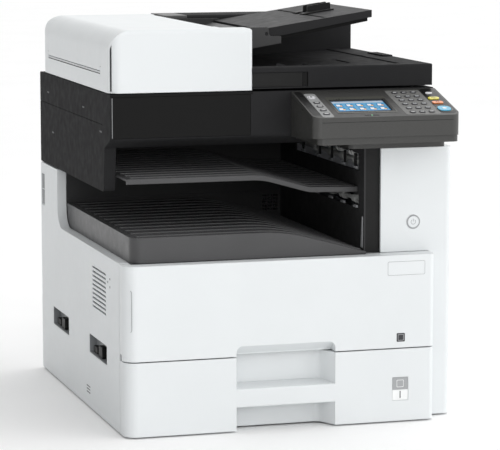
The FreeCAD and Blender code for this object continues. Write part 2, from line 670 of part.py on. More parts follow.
def fuser_unit():
    """Heat roller and press roller in one exchangeable housing."""
    y = (frame_front_y + 47.5, engine_rear_y - 4)
    z = (fuser_low_z + guide_gap, fuser_high_z)
    mid_x, mid_z = (fuser_low_x + fuser_high_x) / 2, (z[0] + z[1]) / 2
    case = box((fuser_low_x, fuser_high_x), y, z)
    slot = box((mid_x - 4, mid_x + 4), (y[0] + 12, y[1] - 12), (z[0] - 1, z[1] + 1))
    axes = (mid_x - fuser_roller_radius - 2, mid_x + fuser_roller_radius + 2)
    rollers = [bar_y(fuser_roller_radius, x, (y[0] + 14, y[1] - 14), mid_z) for x in axes]
    spaces = [bar_y(fuser_roller_radius + 2, x, (y[0] + 12, y[1] - 12), mid_z) for x in axes]
    ends = [bar_y(6, x, (y[0] + 2, y[1] - 2), mid_z) for x in axes]
    return fuse([case.cut(Part.makeCompound([slot] + spaces))] + rollers + ends)


def power_inlet():
    """Three-pin appliance inlet set into the rear cover."""
    g = guide_gap
    body = box((inlet_x[0] + g, inlet_x[1] - g), (rear_y - 26, rear_y - 1), (inlet_z[0] + g, inlet_z[1] - g))
    flange = box((inlet_x[0] - 2, inlet_x[1] + 2), (rear_y - 14, rear_y - cover_wall - g),
                 (inlet_z[0] - 2, inlet_z[1] + 2))
    mid_x, mid_z = sum(inlet_x) / 2, sum(inlet_z) / 2
    recess = prism_y([(mid_x - 14, mid_z - 10), (mid_x + 14, mid_z - 10), (mid_x + 14, mid_z + 4, 2.0),
                      (mid_x + 8, mid_z + 10), (mid_x - 8, mid_z + 10), (mid_x - 14, mid_z + 4, 2.0)],
                     (rear_y - 20, rear_y))
    pins = [box((mid_x + dx - 1, mid_x + dx + 1), (rear_y - 21, rear_y - 5), (mid_z + dz - 2, mid_z + dz + 2))
            for dx, dz in ((-7.5, -3), (7.5, -3), (0, 4))]
    return fuse([fuse([body, flange]).cut(recess)] + pins)


# ---------------------------------------------------------------- scanner

def scanner_housing():
    """Tub with a glazed top, a leg down the left side and a skirt across the rear."""
    y_rear = rear_y - 2
    chin_z = scanner_bottom_z + 17
    floor_z = chin_z + 5
    profile = [(y_rear, scanner_bottom_z), (y_rear, scanner_top_z, 4.0), (scanner_front_y, scanner_top_z, 1.5),
               (scanner_front_y, chin_z, 8.0), (leg_front_y, scanner_bottom_z)]
    tub = prism_x(profile, (left_x, scanner_right_x))
    leg_low = leg_low_z
    leg = prism_x([(leg_front_y, scanner_bottom_z + 4), (leg_front_y + 9, leg_low, 10.0),
                   (y_rear, leg_low), (y_rear, scanner_bottom_z + 4)], (left_x, left_x + leg_width))
    skirt = box((left_x + 1, frame_x - 0.5), (bay_rear_y + 4, y_rear), (leg_low, scanner_bottom_z + 4))
    w = scanner_wall
    top = scanner_top_z - glass_thickness - 1.5
    inner = [box((left_x + w, scanner_right_x - w), (scanner_front_y + scanner_front_wall + 2, y_rear - w),
                 (floor_z, top)),
             box((left_x + w, scanner_right_x - w), (leg_front_y + 6, y_rear - w),
                 (scanner_bottom_z + w, floor_z + 1)),
             box((left_x + w, left_x + leg_width - w), (leg_front_y + 14, y_rear - w),
                 (leg_low - 1, scanner_bottom_z + w + 1)),
             box((left_x + w, frame_x - 0.5 - w), (bay_rear_y + 4 + w, y_rear - w),
                 (leg_low - 1, scanner_bottom_z + w + 1))]
    body = fuse([tub, leg, skirt]).cut(fuse(inner))
    lip = glass_lip
    seam_z = (scanner_bottom_z + 38.6, scanner_bottom_z + 39.6)
    cuts = [box((glass_left_x, glass_right_x), (glass_front_y, glass_rear_y), (top - 1, scanner_top_z + 1)),
            box((glass_left_x - lip, glass_right_x + lip), (glass_front_y - lip, glass_rear_y + lip),
                (scanner_top_z - glass_thickness, scanner_top_z + 1)),
            box((feed_glass_left_x, feed_glass_right_x), (glass_front_y, glass_rear_y),
                (top - 1, scanner_top_z + 1)),
            box((feed_glass_left_x - lip, feed_glass_right_x + lip), (glass_front_y - lip, glass_rear_y + lip),
                (scanner_top_z - glass_thickness, scanner_top_z + 1)),
            box((gloss_left_x, gloss_right_x), (scanner_front_y - 1, scanner_front_y + gloss_thickness),
                (gloss_low_z, gloss_high_z)),
            # seam between the upper and the lower moulding
            box((left_x - 1, left_x + 1), (leg_front_y + 10, y_rear + 1), seam_z),
            box((left_x - 1, scanner_right_x + 1), (y_rear - 1, y_rear + 1), seam_z)]
    # rails under the carriage
    rails = [box((left_x + w - 1, scanner_right_x - w + 1), (y, y + 8), (scanner_bottom_z + w - 1, carriage_rail_z))
             for y in carriage_rails_y]
    ears, holes = [], []
    for c in lid_hinge_x:
        for x in (c - lid_barrel_length / 2 - guide_gap - 6, c + lid_barrel_length / 2 + guide_gap):
            ears.append(box((x, x + 6), (lid_pivot_y - 8, lid_pivot_y + 8), (scanner_top_z - 2, lid_pivot_z)))
            ears.append(bar_x(8, (x, x + 6), lid_pivot_y, lid_pivot_z))
        holes.append(bar_x(lid_pin_radius + shaft_gap, (c - 40, c + 40), lid_pivot_y, lid_pivot_z))
    return fuse([body.cut(Part.makeCompound(cuts))] + rails + ears).cut(Part.makeCompound(holes))


def platen_glass():
    e = glass_lip - guide_gap
    z = (scanner_top_z - glass_thickness, scanner_top_z)
    y = (glass_front_y - e, glass_rear_y + e)
    return Part.makeCompound([box((glass_left_x - e, glass_right_x + e), y, z),
                              box((feed_glass_left_x - e, feed_glass_right_x + e), y, z)])


def scanner_front_panel():
    g = guide_gap
    plate = box((gloss_left_x + g, gloss_right_x - g), (scanner_front_y, scanner_front_y + gloss_thickness),
                (gloss_low_z + g, gloss_high_z - g))
    return plate


def scan_carriage():
    """Lamp and mirror carriage under the glass, on two rails."""
    x = (glass_left_x - 2, glass_left_x - 2 + carriage_width)
    z = carriage_rail_z + guide_gap
    y = (carriage_rails_y[0] - 6, carriage_rails_y[1] + 12)
    body = box(x, y, (z, z + 40))
    trough = box((x[0] + 6, x[1] - 6), (y[0] + 26, y[1] - 24), (z + 6, z + 41))
    lamp = bar_y(5, x[0] + 14, (y[0] + 25, y[1] - 23), z + 24)
    return fuse([body.cut(trough), lamp])


# ---------------------------------------------------------------- document processor

def hinge_barrel(c, body_rear):
    """Knuckle with two stub pins, joined to the cover's rear face."""
    half = lid_barrel_length / 2
    arm = box((c - half, c + half), (body_rear - 1, lid_pivot_y), (lid_pivot_z - 5, lid_pivot_z + 5))
    return [bar_x(lid_barrel_radius, (c - half, c + half), lid_pivot_y, lid_pivot_z), arm,
            bar_x(lid_pin_radius, (c - half - 6, c + half + 6), lid_pivot_y, lid_pivot_z)]


def document_lid():
    """Black platen cover right of the feeder, with the low rear housing."""
    x = (processor_right_x + cover_gap, lid_right_x)
    y = (scanner_front_y, processor_rear_y)
    lid = prism_x([(y[0], lid_bottom_z), (y[1], lid_bottom_z), (y[1], lid_top_z, 4.0), (y[0], lid_top_z, 3.0)], x)
    eject = prism_y([(x[0] - 1, lid_top_z + 5), (x[0] - 1, lid_top_z - 12), (x[0] + 60, lid_top_z - 12, 60.0),
                     (x[1] - 50, lid_top_z - 2), (x[1] - 46, lid_top_z + 5)], (y[0] + 26, rear_housing_front_y))
    hollow = box((x[0] + 3, x[1] - 3), (y[0] + 3, y[1] - 3), (lid_bottom_z + 4, lid_top_z - 16))
    vent = box((x[0] + 20, x[0] + 40), (y[1] - 4, y[1] + 1), (lid_bottom_z + 8, lid_top_z - 20))
    housing = prism_x([(rear_housing_front_y, lid_top_z - 4), (y[1], lid_top_z - 4),
                       (y[1], rear_housing_top_z, 12.0), (rear_housing_front_y, rear_housing_top_z, 6.0)],
                      (x[0], lid_right_x - 2))
    inside = box((x[0] + 3, lid_right_x - 5), (rear_housing_front_y + 3, y[1] - 3),
                 (lid_top_z - 17, rear_housing_top_z - 3))
    # finger recess along the left part of the front face
    recess = box((x[0] - 1, lid_recess_x), (y[0] - 1, y[0] + 2.4), (lid_bottom_z + 2.5, lid_top_z - 9))
    notch = box((lid_recess_x - 9.5, lid_recess_x - 0.3), (y[0] - 1, y[0] + 2.9),
                (lid_bottom_z + 4, lid_top_z - 10))
    body = fuse([lid.cut(eject), housing]).cut(Part.makeCompound([hollow.cut(inside), inside, vent, recess]))
    body = body.cut(notch)
    # raised rest and finger slot on the top face
    rest = box((lid_right_x - 20, lid_right_x - 1), (scanner_front_y + 200, scanner_front_y + 283),
               (lid_top_z - 3, lid_top_z + 2.5))
    slot = box((x[1] - 116, x[1] - 106), (scanner_front_y + 128, scanner_front_y + 209),
               (lid_top_z - 6, lid_top_z + 1))
    return fuse([body.cut(slot), rest] + hinge_barrel(lid_hinge_x[1], y[1]))


def processor_outline(inset):
    """Feeder cross-section in (x, z) with the large upper left rounding."""
    return [(left_x + inset, lid_bottom_z - 2 + inset), (processor_right_x - inset, lid_bottom_z - 2 + inset),
            (processor_right_x - inset, processor_top_z - inset, 6.0),
            (left_x + inset, processor_top_z - inset, processor_left_radius - inset)]


def adf_body():
    """White feeder housing, open where the feed cover sits and where paper goes in."""
    y = (scanner_front_y, processor_rear_y)
    w = cover_wall
    outer = prism_y(processor_outline(0.0), y)
    plan = prism_z([(left_x, y[0], 20.0), (processor_right_x, y[0], 4.0), (processor_right_x, y[1]),
                    (left_x, y[1], 20.0)], (lid_bottom_z - 3, processor_top_z + 1))
    outer = outer.common(plan)
    crown = prism_x([(y[0], lid_bottom_z - 3), (y[1], lid_bottom_z - 3), (y[1], processor_top_z, 24.0),
                     (y[0], processor_top_z, processor_edge_radius)], (left_x - 1, processor_right_x + 1))
    outer = outer.common(crown)
    floor = feed_cover_low_z - 4
    front_room = prism_y(processor_outline(w), (y[0] + w + 4, feed_cover_front_y - w))
    corner = box((rear_housing_left_x - 7, processor_right_x + 1), (inlet_front_y - w, feed_cover_front_y),
                 (floor - w, processor_top_z + 1))
    front_room = front_room.cut(corner)
    inlet_end = prism_z([(rear_housing_left_x - 1, feed_cover_front_y + 1), (rear_housing_left_x + 3, inlet_front_y),
                         (processor_right_x + 1, inlet_front_y), (processor_right_x + 1, feed_cover_front_y + 1)],
                        (floor, processor_top_z + 1))
    rear_room = prism_y(processor_outline(w), (feed_cover_rear_y + w, y[1] - w - 8))
    middle = prism_y([(left_x + w, lid_bottom_z - 2 + w), (processor_right_x - w, lid_bottom_z - 2 + w),
                      (processor_right_x - w, floor - w), (left_x + w, floor - w)],
                     (feed_cover_front_y, feed_cover_rear_y))
    mouth = box((left_x - 1, processor_right_x + 1), (feed_cover_front_y, feed_cover_rear_y),
                (floor, processor_top_z + 1))
    body = outer.cut(fuse([front_room, rear_room, middle])).cut(mouth).cut(inlet_end)
    # openings under the front and rear rooms let the moulding tool out
    under = [box((left_x + 30, processor_right_x - 30), (y[0] + 20, feed_cover_front_y - 12),
                 (lid_bottom_z - 4, lid_bottom_z + 3)),
             box((left_x + 30, processor_right_x - 30), (feed_cover_rear_y + 10, y[1] - 22),
                 (lid_bottom_z - 4, lid_bottom_z + 3)),
             box((left_x + 60, processor_right_x - 60), (feed_cover_front_y + 148, feed_cover_rear_y - 110),
                 (lid_bottom_z - 4, lid_bottom_z + 3))]
    # feed unit under the cover: a low bridge with a roller trough
    bridge_z = feed_cover_low_z + 33
    bridge = prism_y([(left_x + 40, floor - 1), (processor_right_x - 8, floor - 1),
                      (processor_right_x - 8, bridge_z, 6.0), (feed_cover_right_x - 10, bridge_z + 8),
                      (left_x + 60, bridge_z, 8.0)],
                     (feed_cover_front_y - 1, feed_cover_rear_y + 1))
    trough_x = (feed_cover_right_x - 52, feed_cover_right_x - 12)
    trough_y = (feed_cover_front_y + 168, feed_cover_front_y + 248)
    trough = box(trough_x, trough_y, (bridge_z - 20, bridge_z + 20))
    core = prism_y([(left_x + 40 + w, floor - w - 1), (processor_right_x - 8 - w, floor - w - 1),
                    (processor_right_x - 8 - w, bridge_z - w), (feed_cover_right_x - 10, bridge_z + 8 - w),
                    (left_x + 60, bridge_z - w)],
                   (feed_cover_front_y + w, feed_cover_rear_y - w))
    core = core.cut(box((trough_x[0] - w, trough_x[1] + w), (trough_y[0] - w, trough_y[1] + w),
                        (bridge_z - 20 - w, bridge_z + 20)))
    pin = bar_y(feed_pin_radius + shaft_gap, feed_pivot[0], (feed_cover_front_y - 20, feed_cover_rear_y + 20),
                feed_pivot[1])
    lugs = [bar_y(4.4, feed_pivot[0] + 0.4, span, feed_pivot[1])
            for span in ((feed_cover_front_y - 8, feed_cover_front_y), (feed_cover_rear_y, feed_cover_rear_y + 8))]
    body = fuse([body.cut(Part.makeCompound(under)), bridge.cut(trough)] + lugs
                + hinge_barrel(lid_hinge_x[0], y[1]))
    body = body.cut(core).cut(pin)
    # dark end block of the rear housing, beside the paper inlet
    block_y = (document_tray_rear_y, y[1])
    end_block = prism_x([(block_y[0], floor - 1), (block_y[1], floor - 1), (block_y[1], rear_housing_top_z, 12.0),
                         (block_y[0], rear_housing_top_z, 6.0)], (rear_housing_left_x, processor_right_x))
    end_room = box((rear_housing_left_x + 3, processor_right_x - 3), (block_y[0] + 3, block_y[1] - 3),
                   (floor + 2, rear_housing_top_z - 3))
    return fuse([body, end_block] + inlet_fork()).cut(end_room)


def inlet_fork():
    """Fixed ramp behind the feed rollers; its two arms carry the document tray's pivot."""
    left, end = processor_right_x - 12.0, document_tray_left_x - 6.0
    low, high = inlet_fork_low_z, inlet_fork_high_z
    reach = document_tray_left_x + 35.0
    px, pz = document_pivot()
    arms = []
    for y in (document_tray_front_y - cover_gap - fork_width, document_tray_rear_y + cover_gap):
        arm = prism_y([(left, low), (left + 46, low + 5.7), (reach, low + 14), (reach, low + 27, 2.0),
                       (reach - 22, low + 27, 5.0), (reach - 23, high, 6.0), (left, high)], (y, y + fork_width))
        hole = bar_y(document_pin_radius + shaft_gap, px, (y - 1, y + fork_width + 1), pz)
        arms.append(arm.cut(hole))
    ramp_y = (document_tray_front_y - cover_gap - 1, document_tray_rear_y + cover_gap + 1)
    ramp = prism_y([(left, low + 7), (left, low + 17), (end, high - 7), (end, high - 15), (left + 48, low + 14)], ramp_y)
    web = box((left - 4, left + 12), (ramp_y[0], ramp_y[1] - 1), (low - 2, low + 15))
    return [ramp, web] + arms


def adf_cover():
    """Feed cover over the rollers, wrapping the top left edge of the feeder."""
    y = (feed_cover_front_y + moving_gap / 2, feed_cover_rear_y - moving_gap / 2)
    w = cover_wall
    px, pz = feed_pivot
    top = processor_top_z
    radius = processor_left_radius
    skin = prism_y([(left_x, pz), (left_x, top, radius), (feed_cover_right_x, top),
                    (feed_cover_right_x + 8, top - 7), (feed_cover_right_x + 4, top - 9),
                    (feed_cover_right_x - 2, top - w), (left_x + w, top - w, radius - w), (left_x + w, pz)], y)
    ribs = [prism_y([(left_x + 1, pz + 12), (left_x + 1, top - 1, radius - 1), (feed_cover_right_x, top - 1),
                     (feed_cover_right_x, top - 14), (left_x + 30, top - 14, 20.0), (left_x + 12, pz + 12)],
                    (c, c + 3)) for c in (y[0], y[0] + 167.5, y[0] + 247.5, y[1] - 3)]
    barrel = bar_y(4.0, px, y, pz)
    pins = bar_y(feed_pin_radius, px, (y[0] - 7, y[1] + 7), pz)
    return fuse([skin, barrel, pins] + ribs)


def document_slope():
    return (document_tray_high_z - document_tray_low_z) / (document_tray_right_x - document_tray_left_x)


def document_surface(x):
    return document_tray_low_z + (x - document_tray_left_x) * document_slope()


def document_pivot():
    """Lifting axis of the document tray, at its low left end."""
    x = document_tray_left_x + 8
    return x, document_surface(x) - document_tray_low_rim / 2


def document_tray():
    """Sloping paper tray with a tapered rim, an inset skirt, guide slots and a pivot at its low end."""
    left, right = document_tray_left_x, document_tray_right_x
    y = (document_tray_front_y, document_tray_rear_y)
    skin = document_tray_skin

    def section(top, low_left, low_right, inset):
        a, b = left + inset, right - inset
        return [(a, document_surface(a) - top), (b, document_surface(b) - top),
                (b, document_surface(b) - low_right), (a, document_surface(a) - low_left)]

    def solid(top, extra, inset):
        drops = (document_tray_low_rim + extra, document_tray_high_rim + extra)
        return prism_y(section(top, drops[0], drops[1], inset), (y[0] + inset, y[1] - inset))

    inset = document_skirt_inset
    tray = fuse([solid(0.0, 0.0, 0.0), solid(1.0, document_skirt, inset)])
    tray = tray.cut(solid(skin, document_skirt + 1, inset + skin))
    px, pz = document_pivot()
    pins = [bar_y(document_pin_radius, px, (y[0] - 6, y[0] + 1), pz),
            bar_y(document_pin_radius, px, (y[1] - 1, y[1] + 6), pz)]
    mid, half = (y[0] + y[1]) / 2, (y[1] - y[0]) / 2
    slot_reach = half - 5 - inset
    slot = box((guide_left_x - guide_foot + 2, guide_left_x - guide_foot + 8), (mid - slot_reach, mid + slot_reach),
               (document_surface(guide_left_x - guide_foot) - 8, document_surface(guide_left_x) + 4))
    return fuse([tray] + pins).cut(slot)


def document_guide(side):
    """Width guide: an upright fence on a foot that slides in the tray's slot."""
    mid = (document_tray_front_y + document_tray_rear_y) / 2
    y = mid + side * guide_half_spacing
    a, b = guide_left_x, guide_right_x
    z = guide_gap
    fence = prism_y([(a, document_surface(a) + z), (b, document_surface(b) + z),
                     (b, document_surface(b) + guide_height, 2.0), (a, document_surface(a) + guide_height, 2.0)],
                    (y - 2, y + 2))
    toe = a - guide_foot
    foot = prism_y([(toe, document_surface(toe) + z), (b, document_surface(b) + z),
                    (b, document_surface(b) + z + 2), (toe, document_surface(toe) + z + 2)],
                   tuple(sorted((y - side * 2, y + side * 22))))
    c, d = toe + 2 + guide_gap, toe + 8 - guide_gap
    stem = prism_y([(c, document_surface(c) - 6), (d, document_surface(d) - 6), (d, document_surface(d) + z + 1),
                    (c, document_surface(c) + z + 1)], (y - 3, y + 3))
    keeper = prism_y([(c - 4, document_surface(c - 4) - 6.5), (d + 4, document_surface(d + 4) - 6.5),
                      (d + 4, document_surface(d + 4) - 3.4), (c - 4, document_surface(c - 4) - 3.4)], (y - 3, y + 3))
    return fuse([fence, foot, stem, keeper])


# ---------------------------------------------------------------- right side door

def side_door():
    """Conveying door on the right, hinged on its rear edge."""
    x = (right_x - door_depth, right_x)
    y = (door_front_y, door_rear_y)
    z = (door_low_z, door_high_z)
    shell = prism_z([(x[0], y[0]), (x[1], y[0], 2.0), (x[1], y[1], 3.0), (x[0] + 6, y[1], 4.0), (x[0], y[1] - 10)], z)
    shell = shell.cut(box((x[0] - 1, x[1] - cover_wall), (y[0] + 3, y[1] - 12), (z[0] + 3, z[1] - 3)))
    gap = moving_gap
    window = box((x[1] - cover_wall - 1, x[1] + 1), (bypass_front_y - gap, bypass_rear_y + gap),
                 (bypass_low_z - bypass_swing_gap, bypass_high_z + gap))
    px, py = door_pivot
    pins = [bar_z(door_pin_radius, px, py, (z[0] - 7, z[0] + 1)), bar_z(door_pin_radius, px, py, (z[1] - 1, z[1] + 7))]
    bx, bz = bypass_pivot
    lugs = [box((x[0] + 1, x[1] - cover_wall + 0.5), (bypass_front_y - gap - 6, bypass_front_y - gap), (bz - 6, bz + 6)),
            box((x[0] + 1, x[1] - cover_wall + 0.5), (bypass_rear_y + gap, bypass_rear_y + gap + 6), (bz - 6, bz + 6))]
    hole = bar_y(door_pin_radius + shaft_gap, bx, (bypass_front_y - 10, bypass_rear_y + 10), bz)
    return fuse([shell.cut(window)] + pins + lugs).cut(hole)


def bypass_tray():
    """Hand feed tray, folded flat into the side door."""
    x = (right_x - cover_wall, right_x)
    y = (bypass_front_y, bypass_rear_y)
    bx, bz = bypass_pivot
    plate = box(x, y, (bypass_low_z, bypass_high_z))
    plate = plate.makeFillet(1.2, [e for e in plate.Edges if e.BoundBox.XMin > x[1] - 0.01])
    ribs = [box((x[0] - 5, x[0] + 1), (c, c + 3), (bz, bypass_high_z - 6))
            for c in (y[0], (y[0] + y[1]) / 2, y[1] - 3)]
    eyes = [bar_y(3.2, bx, (c, c + 3), bz) for c in (y[0], y[1] - 3)]
    pins = [bar_y(door_pin_radius, bx, (y[0] - 6, y[0] + 1), bz), bar_y(door_pin_radius, bx, (y[1] - 1, y[1] + 6), bz)]
    return fuse([plate] + ribs + eyes + pins)


# ---------------------------------------------------------------- operation panel

def on_panel(shape):
    """From panel coordinates (x, up the slope, out of the surface) to the model's."""
    shape.rotate(V(0, 0, 0), V(1, 0, 0), panel_tilt)
    shape.translate(V(0, panel_front_y, panel_edge_z))
    return shape


def rounded_key(centre, size, w):
    (x, v), (width, height) = centre, size
    radius = min(width, height) * 0.42
    return slab((x - width / 2, x + width / 2), (v - height / 2, v + height / 2), w, radius)


key_columns = (panel_right_x - 82.0, panel_right_x - 65.0, panel_right_x - 48.0)
key_rows = (112.0, 92.0, 74.0, 55.5, 36.0, 16.5)
key_names = (("menu", "counter", "logout"), ("1", "2", "3"), ("4", "5", "6"), ("7", "8", "9"),
             ("star", "0", "hash"), ("address", "recall", "clear"))
key_size = (11.0, 9.0)


def key_table():
    """Name, centre on the slope and size of every key of the panel."""
    table = []
    for v, names in zip(key_rows, key_names):
        for x, name in zip(key_columns, names):
            table.append(("key_" + name, (x, v), key_size))
    x = panel_right_x - 21.5
    table.append(("key_power_save", (x + 0.5, 106.0), (12.0, 7.5)))
    table.append(("key_reset", (x, 80.5), (20.0, 10.0)))
    table.append(("key_stop", (x, 59.5), (20.0, 10.0)))
    table.append(("key_start", (x + 1, 29.0), (23.0, 22.0)))
    table.append(("key_home", (panel_left_x + 26.0, 100.0), (9.5, 9.5)))
    for name, v in zip(("copy", "send", "box", "favourite"), (73.0, 54.5, 36.0, 18.0)):
        table.append(("key_" + name, (panel_left_x + 27.5, v), (12.0, 7.0)))
    return table


def panel_key(centre, size):
    """Key cap with a flange that keeps it under the panel's face."""
    width, height = size
    cap = rounded_key(centre, size, (-key_stem, key_proud))
    flange = rounded_key(centre, (width + 2 * key_flange, height + 2 * key_flange),
                         (-key_stem - 1.0, -panel_wall - 0.1))
    return on_panel(fuse([cap, flange]))


def panel_section(inset):
    """Panel cross-section in (y, z)."""
    tilt = math.tan(math.radians(panel_tilt))
    back = scanner_front_y - cover_gap
    top = panel_edge_z + (back - panel_front_y) * tilt
    down = inset / math.cos(math.radians(panel_tilt))
    return [(panel_front_y + inset, panel_low_z + inset),
            (panel_front_y + inset, panel_edge_z + inset * tilt - down),
            (back - inset, top - inset * tilt - down), (back - inset, panel_low_z - 8 + inset),
            (panel_front_y + 60, panel_low_z - 6 + inset)]


def panel_housing():
    """Sloping panel with its neck that stands on the front column."""
    x = (panel_left_x, panel_right_x)
    back = scanner_front_y - cover_gap

    def plan(inset):
        r = panel_radius - inset
        return prism_z([(x[0] + inset, panel_front_y + inset, r), (x[1] - inset, panel_front_y + inset, r),
                        (x[1] - inset, back - inset, 3.0), (x[0] + inset, back - inset, 3.0)],
                       (panel_low_z - 20, scanner_top_z + 10))

    outer = prism_x(panel_section(0.0), x).common(plan(0.0))
    inner = prism_x(panel_section(panel_wall), (x[0] + 1, x[1] - 1)).common(plan(panel_wall))
    neck_z = (scanner_bottom_z - 3.5, panel_low_z + 1)
    neck = prism_z([(neck_left_x, column_plane_y, 14.0), (right_x - 12, column_plane_y, 10.0),
                    (right_x - 12, back), (neck_left_x, back)], neck_z)
    hollow = box((neck_left_x + 30, right_x - 30), (column_plane_y + 4, back - 3), (neck_z[0] - 1, panel_low_z + 4))
    # skirt under the panel, set in from its edge and open below
    def skirt(inset):
        left, right = x[0] + 9 + inset, x[1] - 1 - inset
        r = panel_radius - 3 - inset
        return prism_z([(left, panel_front_y + 4 + inset, r), (right, panel_front_y + 4 + inset, r),
                        (right, back - inset), (left, back - inset)],
                       (panel_low_z - panel_skirt - inset, panel_low_z + 1))

    body = fuse([outer.cut(inner), skirt(0.0).cut(skirt(panel_wall)).cut(inner), neck.cut(inner)]).cut(hollow)
    cuts = []
    for _, centre, (width, height) in key_table():
        g = 2 * key_gap
        cuts.append(on_panel(rounded_key(centre, (width + g, height + g), (-panel_wall - 1, 1))))
    sx, sv = screen_left_x, screen_low_v
    g = guide_gap
    cuts.append(on_panel(box((sx - g, sx + screen_width + g), (sv - g, sv + screen_height + g),
                             (-screen_recess - screen_thickness, 1))))
    tub = on_panel(box((sx - 3, sx + screen_width + 3), (sv - 3, sv + screen_height + 3), (-6.5, -1)))
    return fuse([body, tub]).cut(Part.makeCompound(cuts))


def touch_screen():
    sx, sv = screen_left_x, screen_low_v
    return on_panel(box((sx, sx + screen_width), (sv, sv + screen_height),
                        (-screen_recess - screen_thickness, -screen_recess)))


def power_button():
    face = column_plane_y - 0.8
    cap = bar_y(power_radius, power_x, (face, column_plane_y + 7), power_z)
    flange = bar_y(power_radius + 2, power_x, (column_plane_y + 8.1, column_plane_y + 10), power_z)
    stem = bar_y(power_radius - 2, power_x, (column_plane_y + 6, column_plane_y + 9), power_z)
    return fuse([cap, flange, stem])


os.makedirs("parts", exist_ok=True)
for part in (chassis, feet, left_cover, rear_cover, column_cover, right_cover, front_cover, cassette_front,
             cassette_tray, bay_wall, lower_exit_tray, upper_exit_tray, photo_drum, toner_container, fuser_unit,
             power_inlet, scanner_housing, platen_glass, scanner_front_panel, scan_carriage, document_lid,
             adf_body, adf_cover, document_tray, side_door, bypass_tray, panel_housing, touch_screen,
             power_button):
    save(part.__name__, part())
save("lower_exit_rollers", exit_rollers(lower_exit_z))
save("upper_exit_rollers", exit_rollers(upper_exit_z))
save("document_guide_front", document_guide(-1))
save("document_guide_rear", document_guide(1))
for name, centre, size in key_table():
    save(name, panel_key(centre, size))
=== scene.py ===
import bmesh
import bpy
import json
import math
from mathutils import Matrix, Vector
from mathutils.bvhtree import BVHTree


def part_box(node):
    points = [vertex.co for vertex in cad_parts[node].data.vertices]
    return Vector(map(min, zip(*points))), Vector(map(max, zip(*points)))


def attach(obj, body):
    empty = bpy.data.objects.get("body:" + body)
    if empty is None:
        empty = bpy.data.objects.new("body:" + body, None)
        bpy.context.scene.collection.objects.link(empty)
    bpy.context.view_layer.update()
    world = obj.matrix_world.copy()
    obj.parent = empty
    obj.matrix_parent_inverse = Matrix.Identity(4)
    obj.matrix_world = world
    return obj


# Looks of a desktop A3 copier. Metres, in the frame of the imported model:
# +X to the user's right, the user at -Y, +Z up.

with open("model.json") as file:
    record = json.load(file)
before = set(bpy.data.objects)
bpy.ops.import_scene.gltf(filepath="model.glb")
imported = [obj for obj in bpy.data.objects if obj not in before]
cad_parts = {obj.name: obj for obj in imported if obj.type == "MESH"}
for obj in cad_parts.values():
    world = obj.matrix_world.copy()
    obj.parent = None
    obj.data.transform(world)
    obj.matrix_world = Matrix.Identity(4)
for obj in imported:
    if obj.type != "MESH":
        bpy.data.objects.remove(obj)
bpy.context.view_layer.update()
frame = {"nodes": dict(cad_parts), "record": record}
MM = 0.001


# ---------------------------------------------------------------- places taken from the frame

def low(node):
    """Lowest corner of a node's box, in mm."""
    return Vector(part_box(node)[0]) / MM


def high(node):
    """Highest corner of a node's box, in mm."""
    return Vector(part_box(node)[1]) / MM


left_x = low("left_cover").x
rear_y = high("rear_cover").y
front_y = low("front_cover").y
column_y = low("column_cover").y
panel_y = low("panel_housing").y
panel_left_x = low("panel_housing").x
panel_right_x = high("panel_housing").x
panel_tilt = math.radians(15.2)
panel_edge_height = 61.1        # front edge of the sloping top, above the housing's lowest point
panel_edge_z = low("panel_housing").z + panel_edge_height
scanner_top_z = high("platen_glass").z
lid_height = 41.0
lid_top_z = scanner_top_z + lid_height
screen_low, screen_high = low("touch_screen"), high("touch_screen")


def on_panel(x, v, w):
    """The panel's sloping top: x, distance up the slope and height above it."""
    return Vector((x, panel_y + v * math.cos(panel_tilt) - w * math.sin(panel_tilt),
                   panel_edge_z + v * math.sin(panel_tilt) + w * math.cos(panel_tilt)))


def on_front(y):
    """Plane that faces the user: x, z and distance out of it."""
    return lambda x, z, w: Vector((x, y - w, z))


def on_rear(y):
    """Plane that faces away from the user: x, z and distance out of it."""
    return lambda x, z, w: Vector((x, y + w, z))


def on_left(x):
    """Plane that faces left: y, z and distance out of it."""
    return lambda y, z, w: Vector((x - w, y, z))


def on_right(x):
    """Plane that faces right: y, z and distance out of it."""
    return lambda y, z, w: Vector((x + w, y, z))


def on_level(z):
    """Level plane: x, y and height above it."""
    return lambda x, y, w: Vector((x, y, z + w))


# ---------------------------------------------------------------- materials

def new_tree(name):
    material = bpy.data.materials.new(name)
    material.use_nodes = True
    nodes, links = material.node_tree.nodes, material.node_tree.links
    shader = nodes["Principled BSDF"]
    place = nodes.new("ShaderNodeTexCoord").outputs["Object"]
    return material, nodes, links, shader, place


def noise(nodes, links, place, scale, detail=4.0):
    node = nodes.new("ShaderNodeTexNoise")
    node.inputs["Scale"].default_value = scale
    node.inputs["Detail"].default_value = detail
    links.new(place, node.inputs["Vector"])
    return node.outputs["Fac"]


def spread(nodes, links, value, smallest, largest):
    """The middle of a noise stretched to a range."""
    node = nodes.new("ShaderNodeMapRange")
    node.inputs["From Min"].default_value = 0.3
    node.inputs["From Max"].default_value = 0.7
    node.inputs["To Min"].default_value = smallest
    node.inputs["To Max"].default_value = largest
    links.new(value, node.inputs["Value"])
    return node.outputs["Result"]


def blend(nodes, links, factor, a, b):
    """Colour between a and b, each a colour or an output."""
    node = nodes.new("ShaderNodeMix")
    node.data_type = "RGBA"
    if isinstance(factor, float):
        node.inputs[0].default_value = factor
    else:
        links.new(factor, node.inputs[0])
    for socket, value in ((node.inputs[6], a), (node.inputs[7], b)):
        if isinstance(value, tuple):
            socket.default_value = value + (1.0,)
        else:
            links.new(value, socket)
    return node.outputs[2]


def uneven_gloss(nodes, links, place, shader, scale, least, most):
    """Roughness that drifts between two values."""
    gloss = spread(nodes, links, noise(nodes, links, place, scale), least, most)
    links.new(gloss, shader.inputs["Roughness"])


